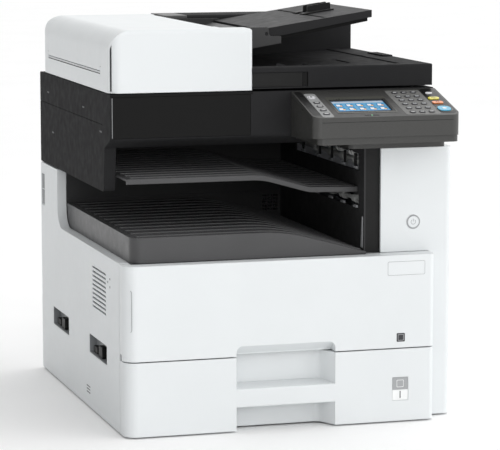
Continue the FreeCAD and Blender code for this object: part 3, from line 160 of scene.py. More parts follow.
def surface(nodes, links, shader, place, grain, bump, round_edge, stretch=None):
    """Fine grain and softened edges."""
    if stretch:
        mapping = nodes.new("ShaderNodeMapping")
        mapping.inputs["Scale"].default_value = stretch
        links.new(place, mapping.inputs["Vector"])
        place = mapping.outputs["Vector"]
    edge = nodes.new("ShaderNodeBevel")
    edge.samples = 4
    edge.inputs["Radius"].default_value = round_edge
    relief = nodes.new("ShaderNodeBump")
    relief.inputs["Strength"].default_value = bump
    relief.inputs["Distance"].default_value = 0.0004
    links.new(noise(nodes, links, place, grain, 2.0), relief.inputs["Height"])
    links.new(edge.outputs["Normal"], relief.inputs["Normal"])
    links.new(relief.outputs["Normal"], shader.inputs["Normal"])


def moulded(name, colour, rough, grain=900.0, bump=0.25, tone=0.06, coat=0.0, round_edge=0.0012,
            metal=0.0, stretch=None, shine=0.5):
    """Moulded plastic, rubber or metal with a fine grain and slightly uneven tone and gloss."""
    material, nodes, links, shader, place = new_tree(name)
    darker = tuple(c * (1 - tone) for c in colour)
    lighter = tuple(min(1.0, c * (1 + tone)) for c in colour)
    patches = spread(nodes, links, noise(nodes, links, place, 9.0), 0.0, 1.0)
    links.new(blend(nodes, links, patches, darker, lighter), shader.inputs["Base Color"])
    uneven_gloss(nodes, links, place, shader, 60.0, rough * 0.88, min(1.0, rough * 1.12))
    shader.inputs["Metallic"].default_value = metal
    shader.inputs["Coat Weight"].default_value = coat
    shader.inputs["Coat Roughness"].default_value = 0.08
    shader.inputs["Specular IOR Level"].default_value = shine
    surface(nodes, links, shader, place, grain, bump, round_edge, stretch)
    return material


def speckled(name, colour, rough, fleck, grain=1400.0):
    """Plastic with fine light and dark flecks."""
    material, nodes, links, shader, place = new_tree(name)
    flecks = spread(nodes, links, noise(nodes, links, place, grain, 1.0), 0.0, 1.0)
    darker = tuple(c * (1 - fleck) for c in colour)
    lighter = tuple(min(1.0, c * (1 + fleck)) for c in colour)
    links.new(blend(nodes, links, flecks, darker, lighter), shader.inputs["Base Color"])
    uneven_gloss(nodes, links, place, shader, 70.0, rough * 0.9, rough * 1.1)
    surface(nodes, links, shader, place, 800.0, 0.2, 0.0008)
    return material


def glowing(name, colour, strength):
    """Lit display area behind a clear face."""
    material, nodes, links, shader, place = new_tree(name)
    tone = spread(nodes, links, noise(nodes, links, place, 25.0), 0.0, 1.0)
    shade = blend(nodes, links, tone, tuple(c * 0.92 for c in colour), colour)
    links.new(shade, shader.inputs["Base Color"])
    links.new(shade, shader.inputs["Emission Color"])
    shader.inputs["Emission Strength"].default_value = strength
    uneven_gloss(nodes, links, place, shader, 60.0, 0.07, 0.12)
    return material


def two_tone(name, white, dark):
    """Feeder housing: white, but dark where it looks up at the paper inlet."""
    material, nodes, links, shader, place = new_tree(name)
    split = nodes.new("ShaderNodeSeparateXYZ")
    links.new(place, split.inputs["Vector"])

    def compare(operation, axis, limit):
        node = nodes.new("ShaderNodeMath")
        node.operation = operation
        node.inputs[1].default_value = limit * MM
        links.new(split.outputs[axis], node.inputs[0])
        return node.outputs["Value"]

    def above(axis, limit):
        return compare("GREATER_THAN", axis, limit)

    def below(axis, limit):
        return compare("LESS_THAN", axis, limit)

    def join(operation, first, *others):
        for other in others:
            node = nodes.new("ShaderNodeMath")
            node.operation = operation
            links.new(first, node.inputs[0])
            links.new(other, node.inputs[1])
            first = node.outputs["Value"]
        return first

    cover_low, cover_high = low("adf_cover"), high("adf_cover")
    room_z = cover_low.z - 4.6
    inlet_x = cover_high.x - 3.0
    under_cover = join("MULTIPLY", above("Y", cover_low.y + 6.5), below("Y", cover_high.y - 7.5))
    beside = join("MULTIPLY", above("X", inlet_x), above("Y", cover_low.y - 23.5), below("Y", cover_high.y))
    housing = join("MULTIPLY", above("X", inlet_x + 0.5), above("Y", high("document_tray").y - 1.0))
    fork = above("X", high("scanner_front_panel").x + 3.1)
    mask = join("MULTIPLY", above("Z", room_z), join("MAXIMUM", under_cover, beside, housing, fork))
    links.new(blend(nodes, links, mask, white, dark), shader.inputs["Base Color"])
    uneven_gloss(nodes, links, place, shader, 60.0, 0.36, 0.46)
    surface(nodes, links, shader, place, 900.0, 0.25, 0.002)
    return material


def rim_shaded(name, colour, dark):
    """Document tray: painted shade, black below the sloping lower edge of its rim."""
    material, nodes, links, shader, place = new_tree(name)
    split = nodes.new("ShaderNodeSeparateXYZ")
    links.new(place, split.inputs["Vector"])
    tray_low, tray_high = low("document_tray"), high("document_tray")
    rim_low, rim_high = tray_high.z - 49.3, tray_high.z - 12.6
    slope = (rim_high - rim_low) / (tray_high.x - tray_low.x)
    edge = nodes.new("ShaderNodeMath")
    edge.operation = "MULTIPLY_ADD"
    edge.inputs[1].default_value = slope
    edge.inputs[2].default_value = (rim_low - slope * tray_low.x) * MM
    links.new(split.outputs["X"], edge.inputs[0])
    above = nodes.new("ShaderNodeMath")
    above.operation = "GREATER_THAN"
    links.new(split.outputs["Z"], above.inputs[0])
    links.new(edge.outputs["Value"], above.inputs[1])
    # painted shade: black below the rim's lower edge, the tray's charcoal above it
    links.new(blend(nodes, links, above.outputs["Value"], dark, colour), shader.inputs["Base Color"])
    uneven_gloss(nodes, links, place, shader, 60.0, 0.45, 0.55)
    shader.inputs["Specular IOR Level"].default_value = 0.1
    surface(nodes, links, shader, place, 700.0, 0.12, 0.0012)
    return material


WHITE = (0.72, 0.745, 0.755)
CHARCOAL = (0.022, 0.022, 0.023)
BLACK = (0.006, 0.006, 0.006)

white_abs = moulded("white_abs", WHITE, 0.42, tone=0.012, bump=0.18)
feeder_abs = two_tone("feeder_abs", WHITE, (0.020, 0.020, 0.021))
# document tray with painted shade under its rim
rim_shade_abs = rim_shaded("rim_shade_abs", CHARCOAL, BLACK)
charcoal_abs = moulded("charcoal_abs", CHARCOAL, 0.72, grain=700.0, bump=0.1, tone=0.03, shine=0.06)
tray_abs = moulded("tray_abs", (0.062, 0.062, 0.064), 0.38, grain=600.0, bump=0.2, shine=0.4,
                   round_edge=0.002)
bay_abs = moulded("bay_abs", (0.034, 0.034, 0.035), 0.5, grain=600.0, bump=0.2, shine=0.2)
black_abs = moulded("black_abs", BLACK, 0.5, grain=800.0, bump=0.4, shine=0.25)
gloss_black = moulded("gloss_black", BLACK, 0.14, grain=300.0, bump=0.02, shine=0.14)
panel_grey = speckled("panel_grey", (0.040, 0.040, 0.038), 0.36, 0.25)
bezel_taupe = moulded("bezel_taupe", (0.060, 0.060, 0.050), 0.3, bump=0.1, coat=0.2)
key_field = speckled("key_field", (0.27, 0.275, 0.275), 0.4, 0.35)
pad_field = speckled("pad_field", (0.15, 0.15, 0.145), 0.42, 0.45)
pad_dark = moulded("pad_dark", (0.008, 0.008, 0.008), 0.3, bump=0.05, shine=0.3)
screen_glass = glowing("screen_glass", (0.05, 0.20, 0.42), 0.3)
screen_light = glowing("screen_light", (0.12, 0.32, 0.50), 0.35)
screen_dark = glowing("screen_dark", (0.35, 0.42, 0.50), 0.3)
screen_green = glowing("screen_green", (0.15, 0.55, 0.25), 0.4)
screen_orange = glowing("screen_orange", (0.85, 0.45, 0.10), 0.4)
zinc_steel = moulded("zinc_steel", (0.55, 0.56, 0.58), 0.34, grain=260.0, bump=0.15, metal=1.0,
                     stretch=(1.0, 1.0, 14.0))
rubber_foot = moulded("rubber_foot", (0.02, 0.02, 0.02), 0.75, grain=500.0, bump=0.5)
engine_grey = moulded("engine_grey", (0.22, 0.23, 0.24), 0.45)
tray_grey = moulded("tray_grey", (0.30, 0.31, 0.32), 0.45)
roller_grey = moulded("roller_grey", (0.42, 0.43, 0.42), 0.6, grain=1200.0, bump=0.6)
drum_green = moulded("drum_green", (0.05, 0.20, 0.15), 0.15, bump=0.02, coat=0.8)
key_dark = moulded("key_dark", (0.05, 0.05, 0.055), 0.38, bump=0.1, round_edge=0.0008)
key_white = moulded("key_white", (0.72, 0.72, 0.74), 0.35, bump=0.1, round_edge=0.0008)
key_yellow = moulded("key_yellow", (0.74, 0.66, 0.06), 0.25, bump=0.05, coat=0.4, round_edge=0.001)
key_orange = moulded("key_orange", (0.80, 0.24, 0.07), 0.25, bump=0.05, coat=0.4, round_edge=0.001)
key_blue = moulded("key_blue", (0.06, 0.40, 0.62), 0.25, bump=0.05, coat=0.4, round_edge=0.001)
print_white = moulded("print_white", (0.85, 0.86, 0.86), 0.5, bump=0.05)
print_dark = moulded("print_dark", (0.03, 0.03, 0.035), 0.5, bump=0.05)
print_grey = moulded("print_grey", (0.36, 0.37, 0.38), 0.45, bump=0.05)
pad_foam = moulded("pad_foam", (0.84, 0.85, 0.84), 0.6, grain=350.0, bump=0.2)


def glass_material():
    """Clear platen glass, faintly green."""
    material, nodes, links, shader, place = new_tree("clear_glass")
    tint = spread(nodes, links, noise(nodes, links, place, 12.0), 0.0, 1.0)
    glass_tone = blend(nodes, links, tint, (0.78, 0.86, 0.84), (0.82, 0.88, 0.87))
    links.new(glass_tone, shader.inputs["Base Color"])
    uneven_gloss(nodes, links, place, shader, 90.0, 0.02, 0.05)
    shader.inputs["Transmission Weight"].default_value = 0.85
    shader.inputs["IOR"].default_value = 1.5
    return material


clear_glass = glass_material()

by_slot = {"white_abs": white_abs, "charcoal_abs": charcoal_abs, "black_abs": black_abs,
           "gloss_black": gloss_black, "panel_grey": panel_grey, "screen_blue": screen_glass,
           "clear_glass": clear_glass, "zinc_steel": zinc_steel, "rubber_foot": rubber_foot,
           "engine_grey": engine_grey, "tray_grey": tray_grey, "roller_grey": roller_grey,
           "drum_green": drum_green, "key_dark": key_dark, "key_white": key_white,
           "key_yellow": key_yellow, "key_orange": key_orange, "key_blue": key_blue}
by_node = {"adf_body": feeder_abs, "document_tray": rim_shade_abs, "bay_wall": bay_abs,
           "lower_exit_tray": tray_abs, "upper_exit_tray": tray_abs}

for part in frame["record"]["subparts"]:
    node = frame["nodes"][part["node"]]
    material = by_node.get(part["node"], by_slot[part["material_slot"]])
    for holder in node.material_slots:
        holder.material = material


# ---------------------------------------------------------------- building pieces

def piece(name, mesh, material, body):
    """Object that rides on a body and takes a material."""
    obj = bpy.data.objects.new(name, mesh)
    bpy.context.scene.collection.objects.link(obj)
    mesh.materials.clear()
    mesh.materials.append(material)
    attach(obj, body)
    return obj


def rounded(x, y, radius, steps=6):
    """Outline of a rectangle with round corners."""
    points = []
    corners = ((x[1] - radius, y[0] + radius, -90), (x[1] - radius, y[1] - radius, 0),
               (x[0] + radius, y[1] - radius, 90), (x[0] + radius, y[0] + radius, 180))
    for cx, cy, start in corners:
        for i in range(steps + 1):
            angle = math.radians(start + 90.0 * i / steps)
            points.append((cx + radius * math.cos(angle), cy + radius * math.sin(angle)))
    return points


def rectangle(x, y):
    """Outline of a rectangle with square corners."""
    return [(x[0], y[0]), (x[1], y[0]), (x[1], y[1]), (x[0], y[1])]


def circle(cx, cy, radius, steps=32, start=0.0, turn=360.0):
    """Outline of a circle, or points along an arc."""
    angles = [math.radians(start + turn * i / steps) for i in range(steps)]
    return [(cx + radius * math.cos(a), cy + radius * math.sin(a)) for a in angles]


def add_prism(bm, points, place, bottom, top, soften=0.0):
    """Closed prism over an outline, with its top edge softened."""
    inner = points
    if soften:
        cx = sum(p[0] for p in points) / len(points)
        cy = sum(p[1] for p in points) / len(points)
        reach = max(math.hypot(p[0] - cx, p[1] - cy) for p in points)
        scale = 1.0 - soften / reach
        inner = [(cx + (p[0] - cx) * scale, cy + (p[1] - cy) * scale) for p in points]
    levels = [(points, bottom), (points, top - soften)] if soften else [(points, bottom)]
    levels.append((inner, top))
    rings = [[bm.verts.new(place(a, b, w) * MM) for a, b in ring] for ring, w in levels]
    count = len(points)
    for lower, upper in zip(rings, rings[1:]):
        for i in range(count):
            bm.faces.new((lower[i], lower[(i + 1) % count], upper[(i + 1) % count], upper[i]))
    bm.faces.new(list(reversed(rings[0])))
    bm.faces.new(rings[-1])


def add_ring(bm, outer, inner, place, bottom, top):
    """Flat frame between two outlines with as many points."""
    count = len(outer)
    loops = [[bm.verts.new(place(a, b, w) * MM) for a, b in ring]
             for ring, w in ((outer, bottom), (outer, top), (inner, top), (inner, bottom))]
    for a, b in zip(loops, loops[1:] + loops[:1]):
        for i in range(count):
            bm.faces.new((a[i], a[(i + 1) % count], b[(i + 1) % count], b[i]))


def finish_mesh(name, bm):
    """Mesh with its faces turned outwards."""
    bmesh.ops.recalc_face_normals(bm, faces=bm.faces)
    mesh = bpy.data.meshes.new(name)
    bm.to_mesh(mesh)
    bm.free()
    return mesh


def plates(name, outlines, place, bottom, top, material, body, slot, soften=0.0):
    """One piece made of one or more prisms over outlines."""
    bm = bmesh.new()
    for outline in outlines:
        add_prism(bm, outline, place, bottom, top, soften)
    return piece(name, finish_mesh(name, bm), material, body)


def frames(name, pairs, place, bottom, top, material, body, slot):
    """One piece made of one or more flat frames."""
    bm = bmesh.new()
    for outer, inner in pairs:
        add_ring(bm, outer, inner, place, bottom, top)
    return piece(name, finish_mesh(name, bm), material, body)


def lettering(name, words, size, centre, place, height, material, body):
    """Raised print: words as a thin solid, centred on a point of a plane."""
    curve = bpy.data.curves.new(name, "FONT")
    curve.body = words
    curve.align_x = "CENTER"
    curve.align_y = "CENTER"
    curve.size = size
    curve.extrude = 0.04
    curve.resolution_u = 2
    holder = bpy.data.objects.new(name + "_text", curve)
    mesh = bpy.data.meshes.new_from_object(holder)
    bpy.data.objects.remove(holder)
    for v in mesh.vertices:
        v.co = place(centre[0] + v.co.x, centre[1] + v.co.y, height + v.co.z) * MM
    return piece(name, mesh, material, body)


def cylinder_mesh(bm, start, end, radius, steps=32, soften=0.0):
    """Closed cylinder between two points, with softened ends."""
    start, end = Vector(start), Vector(end)
    axis = (end - start).normalized()
    side = axis.orthogonal().normalized()
    up = axis.cross(side)
    levels = [(start, radius - soften), (start + axis * soften, radius), (end - axis * soften, radius),
              (end, radius - soften)] if soften else [(start, radius), (end, radius)]
    rings = []
    for centre, r in levels:
        ring = []
        for i in range(steps):
            angle = 2 * math.pi * i / steps
            spoke = side * math.cos(angle) + up * math.sin(angle)
            ring.append(bm.verts.new((centre + spoke * r) * MM))
        rings.append(ring)
    for lower, upper in zip(rings, rings[1:]):
        for i in range(steps):
            bm.faces.new((lower[i], lower[(i + 1) % steps], upper[(i + 1) % steps], upper[i]))
    bm.faces.new(list(reversed(rings[0])))
    bm.faces.new(rings[-1])


def smooth(obj, angle=35.0):
    """Smooth shading, with edges sharper than an angle (degrees) kept sharp."""
    for polygon in obj.data.polygons:
        polygon.use_smooth = True
    bm = bmesh.new()
    bm.from_mesh(obj.data)
    for edge in bm.edges:
        if len(edge.link_faces) == 2:
            edge.smooth = edge.calc_face_angle(0.0) < math.radians(angle)
    bm.to_mesh(obj.data)
    bm.free()


def surface_of(node):
    """Height of a node's upper surface over a point, by a ray from above."""
    mesh = frame["nodes"][node].data
    tree = BVHTree.FromPolygons([v.co for v in mesh.vertices], [p.vertices for p in mesh.polygons])
    top = high(node).z + 5.0

    def height(x, y):
        hit = tree.ray_cast(Vector((x, y, top)) * MM, Vector((0, 0, -1)))[0]
        return None if hit is None else hit.z / MM

    return height


def screw_heads(name, points, place, body, radius=3.4):
    """Pan heads with a cross recess."""
    bm = bmesh.new()
    for a, b in points:
        outer = circle(a, b, radius, 24)
        inner = circle(a, b, radius * 0.55, 24)
        add_ring(bm, outer, inner, place, 0.0, 1.4)
        for turn in (0, 90):
            angle = math.radians(turn + 45)
            dx, dy = math.cos(angle), math.sin(angle)
            for sign in (-1, 1):
                cx, cy = a + dx * sign * radius * 0.34, b + dy * sign * radius * 0.34
                add_prism(bm, circle(cx, cy, radius * 0.24, 8), place, 0.0, 1.2)
        add_prism(bm, circle(a, b, radius * 0.56, 24), place, 0.0, 0.6)
    return piece(name, finish_mesh(name, bm), zinc_steel, body)


# ---------------------------------------------------------------- operation panel

INLAY = (-0.05, 0.25)                   # a thin inlay, from just under a surface to just above it
PANEL_SKIN = ("frame", "panel_grey")    # body and slot of the panel's own plates
WHITE_SKIN = ("frame", "white_abs")

screen_x = (screen_low.x - 0.5, screen_high.x + 0.5)
screen_v = (28.7, 83.3)


def panel_details():
    left_field = (panel_left_x + 17.0, panel_left_x + 37.5)
    left_edge = (panel_left_x + 3.0, panel_left_x + 16.2)
    pad = (panel_right_x - 97.0, panel_right_x - 34.0)
    strip = (panel_right_x - 33.0, panel_right_x - 3.0)
    plates("panel_left_field", [rounded(left_field, (3.0, 119.0), 5.0)], on_panel, *INLAY, key_field,
           *PANEL_SKIN, 0.1)
    plates("panel_key_pad", [rounded(pad, (5.0, 125.0), 5.0)], on_panel, *INLAY, pad_field,
           *PANEL_SKIN, 0.1)
    plates("panel_start_strip", [rounded(strip, (9.0, 129.0), 10.0)], on_panel, -0.05, 0.2, pad_dark,
           *PANEL_SKIN, 0.1)
    plates("panel_left_edge", [rounded(left_edge, (14.0, 129.0), 4.0)], on_panel, -0.05, 0.2, pad_dark,
           *PANEL_SKIN, 0.1)
    opening = rounded(screen_x, screen_v, 0.8)
    bezel = rounded((screen_x[0] - 5.0, screen_x[1] + 6.5), (20.0, 98.0), 4.0)
    frames("panel_screen_bezel", [(bezel, opening)], on_panel, -0.05, 0.5, bezel_taupe, *PANEL_SKIN)
    edge = rounded((screen_x[0] - 1.2, screen_x[1] + 5.0), (screen_v[0] - 4.0, screen_v[1] + 3.0), 1.2)
    frames("panel_screen_edge", [(edge, opening)], on_panel, -0.4, 0.56, pad_dark, *PANEL_SKIN)
    led_x = panel_left_x + 105.0
    plates("panel_led", [circle(led_x, 8.0, 1.5)], on_panel, -0.05, 0.5, screen_green, "frame",
           "screen_blue", 0.2)
    window = rounded((led_x - 13.0, led_x + 13.0), (5.5, 10.5), 2.4)
    plates("panel_led_window", [window], on_panel, *INLAY, pad_dark, *PANEL_SKIN)
    # fine groove between the lid and the tub of the panel
    groove_depth = (-0.5, 0.05)
    groove = rectangle((panel_left_x + 14.0, panel_right_x - 14.0), (panel_edge_z - 8.6, panel_edge_z - 7.8))
    plates("panel_front_seam", [groove], on_front(panel_y), *groove_depth, pad_dark, *PANEL_SKIN)
    length = 112.0
    rise = length * math.tan(panel_tilt)
    start = (panel_y + 16.0, panel_edge_z - 4.4)
    side = [start, (start[0] + length, start[1] + rise), (start[0] + length, start[1] + rise + 0.8),
            (start[0], start[1] + 0.8)]
    plates("panel_left_seam", [side], on_left(panel_left_x), *groove_depth, pad_dark, *PANEL_SKIN)
    plates("panel_right_seam", [side], on_right(panel_right_x), *groove_depth, pad_dark, *PANEL_SKIN)


def screen_details():
    """Generic start page: a title bar, two rows of tiles and a task bar."""
    x = (screen_low.x + 1.0, screen_high.x - 1.0)
    v = (30.0, 82.0)
    page, second, third, fourth = (-1.99, -1.94), (-1.94, -1.90), (-1.90, -1.87), (-1.87, -1.84)
    skin = ("frame", "screen_blue")
    title, bar = rounded(x, (v[1] - 8.0, v[1]), 0.6), rounded(x, (v[0], v[0] + 7.0), 0.6)
    plates("screen_page", [rounded(x, v, 0.6)], on_panel, *page, screen_light, *skin)
    plates("screen_title", [title], on_panel, *second, screen_dark, *skin)
    plates("screen_bar", [bar], on_panel, *second, screen_glass, *skin)
    step = (x[1] - x[0]) / 5.0
    tiles, marks, accents = [], [], []
    for row in range(2):
        for column in range(5):
            cx = x[0] + step * (column + 0.5)
            cv = v[0] + 15.5 + row * 17.5
            tiles.append(rounded((cx - 6.6, cx + 6.6), (cv - 6.8, cv + 6.8), 1.6))
            marks.append(rounded((cx - 4.6, cx + 2.4), (cv - 3.8, cv + 4.6), 0.6))
            accents.append(circle(cx + 3.2, cv - 2.6, 2.4, 16))
    plates("screen_tiles", tiles, on_panel, *second, screen_glass, *skin)
    plates("screen_marks", marks, on_panel, *third, print_white, *skin)
    plates("screen_accents", accents, on_panel, *fourth, screen_orange, *skin)


key_columns = (panel_right_x - 82.0, panel_right_x - 65.0, panel_right_x - 48.0)
number_rows = ((92.0, ("1", "2", "3")), (74.0, ("4", "5", "6")), (55.5, ("7", "8", "9")),
               (36.0, ("star", "0", "hash")))
function_rows = ((112.0, ("menu", "counter", "logout")), (16.5, ("address", "recall", "clear")))
left_keys = (("copy", 73.0), ("send", 54.5), ("box", 36.0), ("favourite", 18.0))
signs = {"star": "*", "hash": "#"}
key_top = 1.6                                       # height of the keys above the panel
KEY_PRINT = (key_top - 0.02, key_top + 0.08)        # a printed mark on a key


def key_details():
    for v, names in number_rows:
        for x, name in zip(key_columns, names):
            plates("cap_" + name, [rounded((x - 3.6, x + 3.6), (v - 2.7, v + 2.7), 2.6)], on_panel,
                   key_top - 0.05, key_top + 0.18, print_grey, "key_" + name, "key_white", 0.1)
            lettering("digit_" + name, signs.get(name, name), 4.6, (x, v), on_panel, key_top + 0.2,
                      print_dark, "key_" + name)

    def bar_mark(name, x, v, half_width, half_height, corner):
        bar = rounded((x - half_width, x + half_width), (v - half_height, v + half_height), corner)
        plates("mark_" + name, [bar], on_panel, *KEY_PRINT, print_white, "key_" + name, "key_white")

    for v, names in function_rows:
        for x, name in zip(key_columns, names):
            bar_mark(name, x, v, 3.2, 0.8, 0.7)
    for name, v in left_keys:
        bar_mark(name, panel_left_x + 27.5, v, 3.6, 1.0, 0.9)
    # ring round the home key, and a small house on it
    hx, hv = panel_left_x + 26.0, 100.0
    frames("home_ring", [(circle(hx, hv, 7.4), circle(hx, hv, 5.6))], on_panel, 0.2, 0.6, key_white,
           "frame", "key_white")
    house = [(hx - 2.0, hv - 2.2), (hx + 2.0, hv - 2.2), (hx + 2.0, hv + 0.4), (hx + 2.9, hv + 0.4),
             (hx, hv + 2.9), (hx - 2.9, hv + 0.4), (hx - 2.0, hv + 0.4)]
    plates("mark_home", [house], on_panel, *KEY_PRINT, print_dark, "key_home", "key_dark")
    # two bars, a ring and a diamond on the coloured keys
    x = panel_right_x - 21.5
    bars = [rounded((x - 4.0, x + 4.0), (v, v + 1.0), 0.4) for v in (78.5, 81.5)]
    plates("mark_reset", bars, on_panel, *KEY_PRINT, print_dark, "key_reset", "key_dark")
    frames("mark_stop", [(circle(x, 59.5, 3.2), circle(x, 59.5, 2.3))], on_panel, *KEY_PRINT, print_dark,
           "key_stop", "key_dark")
    x, v = panel_right_x - 20.5, 29.0
    plates("mark_start", [[(x - 4.5, v), (x, v - 4.5), (x + 4.5, v), (x, v + 4.5)]], on_panel,
           key_top - 0.02, key_top + 0.1, print_white, "key_start", "key_white")
    frames("start_ring", [(circle(x, v, 15.0, 48), circle(x, v, 13.2, 48))], on_panel, 0.2, 0.55,
           bezel_taupe, *PANEL_SKIN)


def power_details():
    """Ring round the power button and the sign on it."""
    box_low, box_high = low("power_button"), high("power_button")
    cx, cz = (box_low.x + box_high.x) / 2, (box_low.z + box_high.z) / 2
    face = on_front(box_low.y)
    frames("power_ring", [(circle(cx, cz, 12.6, 48), circle(cx, cz, 10.6, 48))], on_front(column_y),
           -0.05, 0.35, print_grey, *WHITE_SKIN)
    arc_out = circle(cx, cz, 4.6, 20, 125.0, 305.0)
    arc_in = circle(cx, cz, 3.7, 20, 125.0, 305.0)
    bm = bmesh.new()
    add_prism(bm, arc_out + list(reversed(arc_in)), face, -0.02, 0.1)
    add_prism(bm, rounded((cx - 0.5, cx + 0.5), (cz + 0.6, cz + 5.4), 0.3), face, -0.02, 0.1)
    piece("power_mark", finish_mesh("power_mark", bm), print_grey, "power_key")


# ---------------------------------------------------------------- front

def front_details():
    """Paper size card, empty name plate, door scoop and small badge."""
    card_recess = on_front(front_y + 1.0)
    card = (177.2, 205.4)
    mid = (card[0] + card[1]) / 2
    plates("size_card_upper", [rounded(card, (58.0, 79.4), 1.0)], card_recess, -0.02, 0.5, print_grey,
           "cassette", "tray_grey", 0.1)
    plates("size_card_lower", [rounded(card, (39.4, 57.4), 1.0)], card_recess, -0.02, 0.5, print_white,
           "cassette", "white_abs", 0.1)
    frames("size_card_mark", [(rounded((mid - 6.5, mid + 6.5), (62.0, 75.0), 1.2),
                               rounded((mid - 5.4, mid + 5.4), (63.1, 73.9), 0.8))],
           card_recess, 0.45, 0.6, print_white, "cassette", "white_abs")
    lettering("size_card_number", "1", 18.0, (mid, 48.4), card_recess, 0.55, print_dark, "cassette")
    face = on_front(front_y)
    frames("name_plate", [(rounded((167.0, 235.0), (258.0, 282.0), 2.5),
                           rounded((167.6, 234.4), (258.6, 281.4), 2.2))],
           face, -0.05, 0.12, print_grey, "front_door", "white_abs")
    # outline of the finger scoop at the left edge of the door
    middle_z = 218.0
    half = [(-285.2, 32.0), (-286.4, 34.6), (-288.0, 35.2), (-288.0, 34.4), (-286.9, 33.9), (-286.0, 31.8)]
    scoop = [(x, middle_z + h) for x, h in half] + [(x, middle_z - h) for x, h in reversed(half)]
    plates("door_scoop_line", [scoop], face, -1.0, 0.06, print_grey, "front_door", "white_abs")
    plates("small_badge", [rounded((184.0, 199.0), (142.0, 157.0), 1.5)], face, -0.05, 0.3, print_dark,
           "front_door", "black_abs", 0.1)
    frames("small_badge_line", [(rounded((186.0, 197.0), (144.0, 155.0), 1.0),
                                 rounded((187.0, 196.0), (145.0, 154.0), 0.8))],
           face, 0.28, 0.36, print_grey, "front_door", "tray_grey")


def scanner_front_details():
    """Painted highlight as a light line down the gloss panel's left edge, the black band under the feeder
    and the lid's dark recess.
    """
    gloss_skin = ("frame", "gloss_black")
    box_low, box_high = low("scanner_front_panel"), high("scanner_front_panel")
    face = on_front(box_low.y)
    # painted highlight: a thin pale strip down the gloss panel's left edge
    edge = rounded((box_low.x + 0.2, box_low.x + 1.1), (box_low.z + 1.0, box_high.z - 1.0), 0.4)
    plates("gloss_edge_highlight", [edge], face, -0.02, 0.06, print_grey, *gloss_skin)
    band = rectangle((left_x + 1.0, box_high.x + 4.0), (box_high.z + 0.4, scanner_top_z - 0.4))
    plates("scanner_top_band", [band], face, -0.4, 0.1, gloss_black, *gloss_skin)
    lid_low = low("document_lid")
    face = on_front(lid_low.y)
    recess_x = lid_low.x + 99.3
    deep = rectangle((recess_x - 9.3, recess_x - 0.5), (lid_low.z + 4.2, lid_top_z - 10.2))
    plates("lid_notch", [deep], face, -3.2, -2.2, gloss_black, "document_processor", "gloss_black")
    shade = rectangle((lid_low.x + 0.4, recess_x - 9.8), (lid_low.z + 2.8, lid_top_z - 9.3))
    plates("lid_recess", [shade], face, -2.8, -2.3, black_abs, "document_processor", "black_abs")


# ---------------------------------------------------------------- output bay

def tray_ribs(node, x_range, y_range, pitch):
    """Fine raised lines along a paper rest, following its surface."""
    height = surface_of(node)
    section = ((-2.0, -0.1), (-1.0, 2.2), (1.0, 2.2), (2.0, -0.1))
    count = 24
    bm = bmesh.new()
    y = y_range[0]
    while y <= y_range[1]:
        rows = []
        for i in range(count + 1):
            x = x_range[0] + (x_range[1] - x_range[0]) * i / count
            z = height(x, y)
            if z is not None:
                rows.append([bm.verts.new(Vector((x, y + dy, z + dz)) * MM) for dy, dz in section])
        for a, b in zip(rows, rows[1:]):
            for i in range(4):
                bm.faces.new((a[i], a[(i + 1) % 4], b[(i + 1) % 4], b[i]))
        if rows:
            bm.faces.new(rows[0])
            bm.faces.new(list(reversed(rows[-1])))
        y += pitch
    piece(node + "_ribs", finish_mesh(node + "_ribs", bm), tray_abs, "frame")


def paper_mouth_details(wall_x):
    """Flags, pinch rollers and guide strips on the right wall of the bay."""
    wall = on_left(wall_x)
    rollers_z = low("upper_exit_rollers").z
    bm = bmesh.new()
    for y in (-232.0, -176.0, -104.0, -36.0, 60.0):
        flag = rounded((y - 2.5, y + 2.5), (rollers_z + 1.0, rollers_z + 23.0), 1.5)
        add_prism(bm, flag, wall, -1.0, 2.6, 0.4)
    piece("mouth_flags", finish_mesh("mouth_flags", bm), black_abs, "frame")
    # pale pinch rollers over the driven ones
    bm = bmesh.new()
    x, z = wall_x + 5.0, rollers_z + 22.5
    for y in (-201.0, -134.0, -66.0, 22.0):
        for middle in (y - 10.0, y + 6.0):
            cylinder_mesh(bm, (x, middle - 3.0, z), (x, middle + 3.0, z), 6.0, 24, 0.8)
    smooth(piece("pinch_rollers", finish_mesh("pinch_rollers", bm), roller_grey, "frame"))
    # light guide strips along the lower edge of both mouths
    for mouth in ("lower", "upper"):
        z = low(mouth + "_exit_rollers").z
        bm = bmesh.new()
        for y in (-234.0, -167.0, -100.0, -22.0, 60.0):
            strip = [(y - 9.0, z - 3.0), (y + 9.0, z - 3.0), (y + 7.0, z + 1.2), (y - 7.0, z + 1.2)]
            add_prism(bm, strip, wall, -0.8, 3.0, 0.4)
        name = mouth + "_mouth_guide"
        piece(name, finish_mesh(name, bm), tray_grey, "frame")


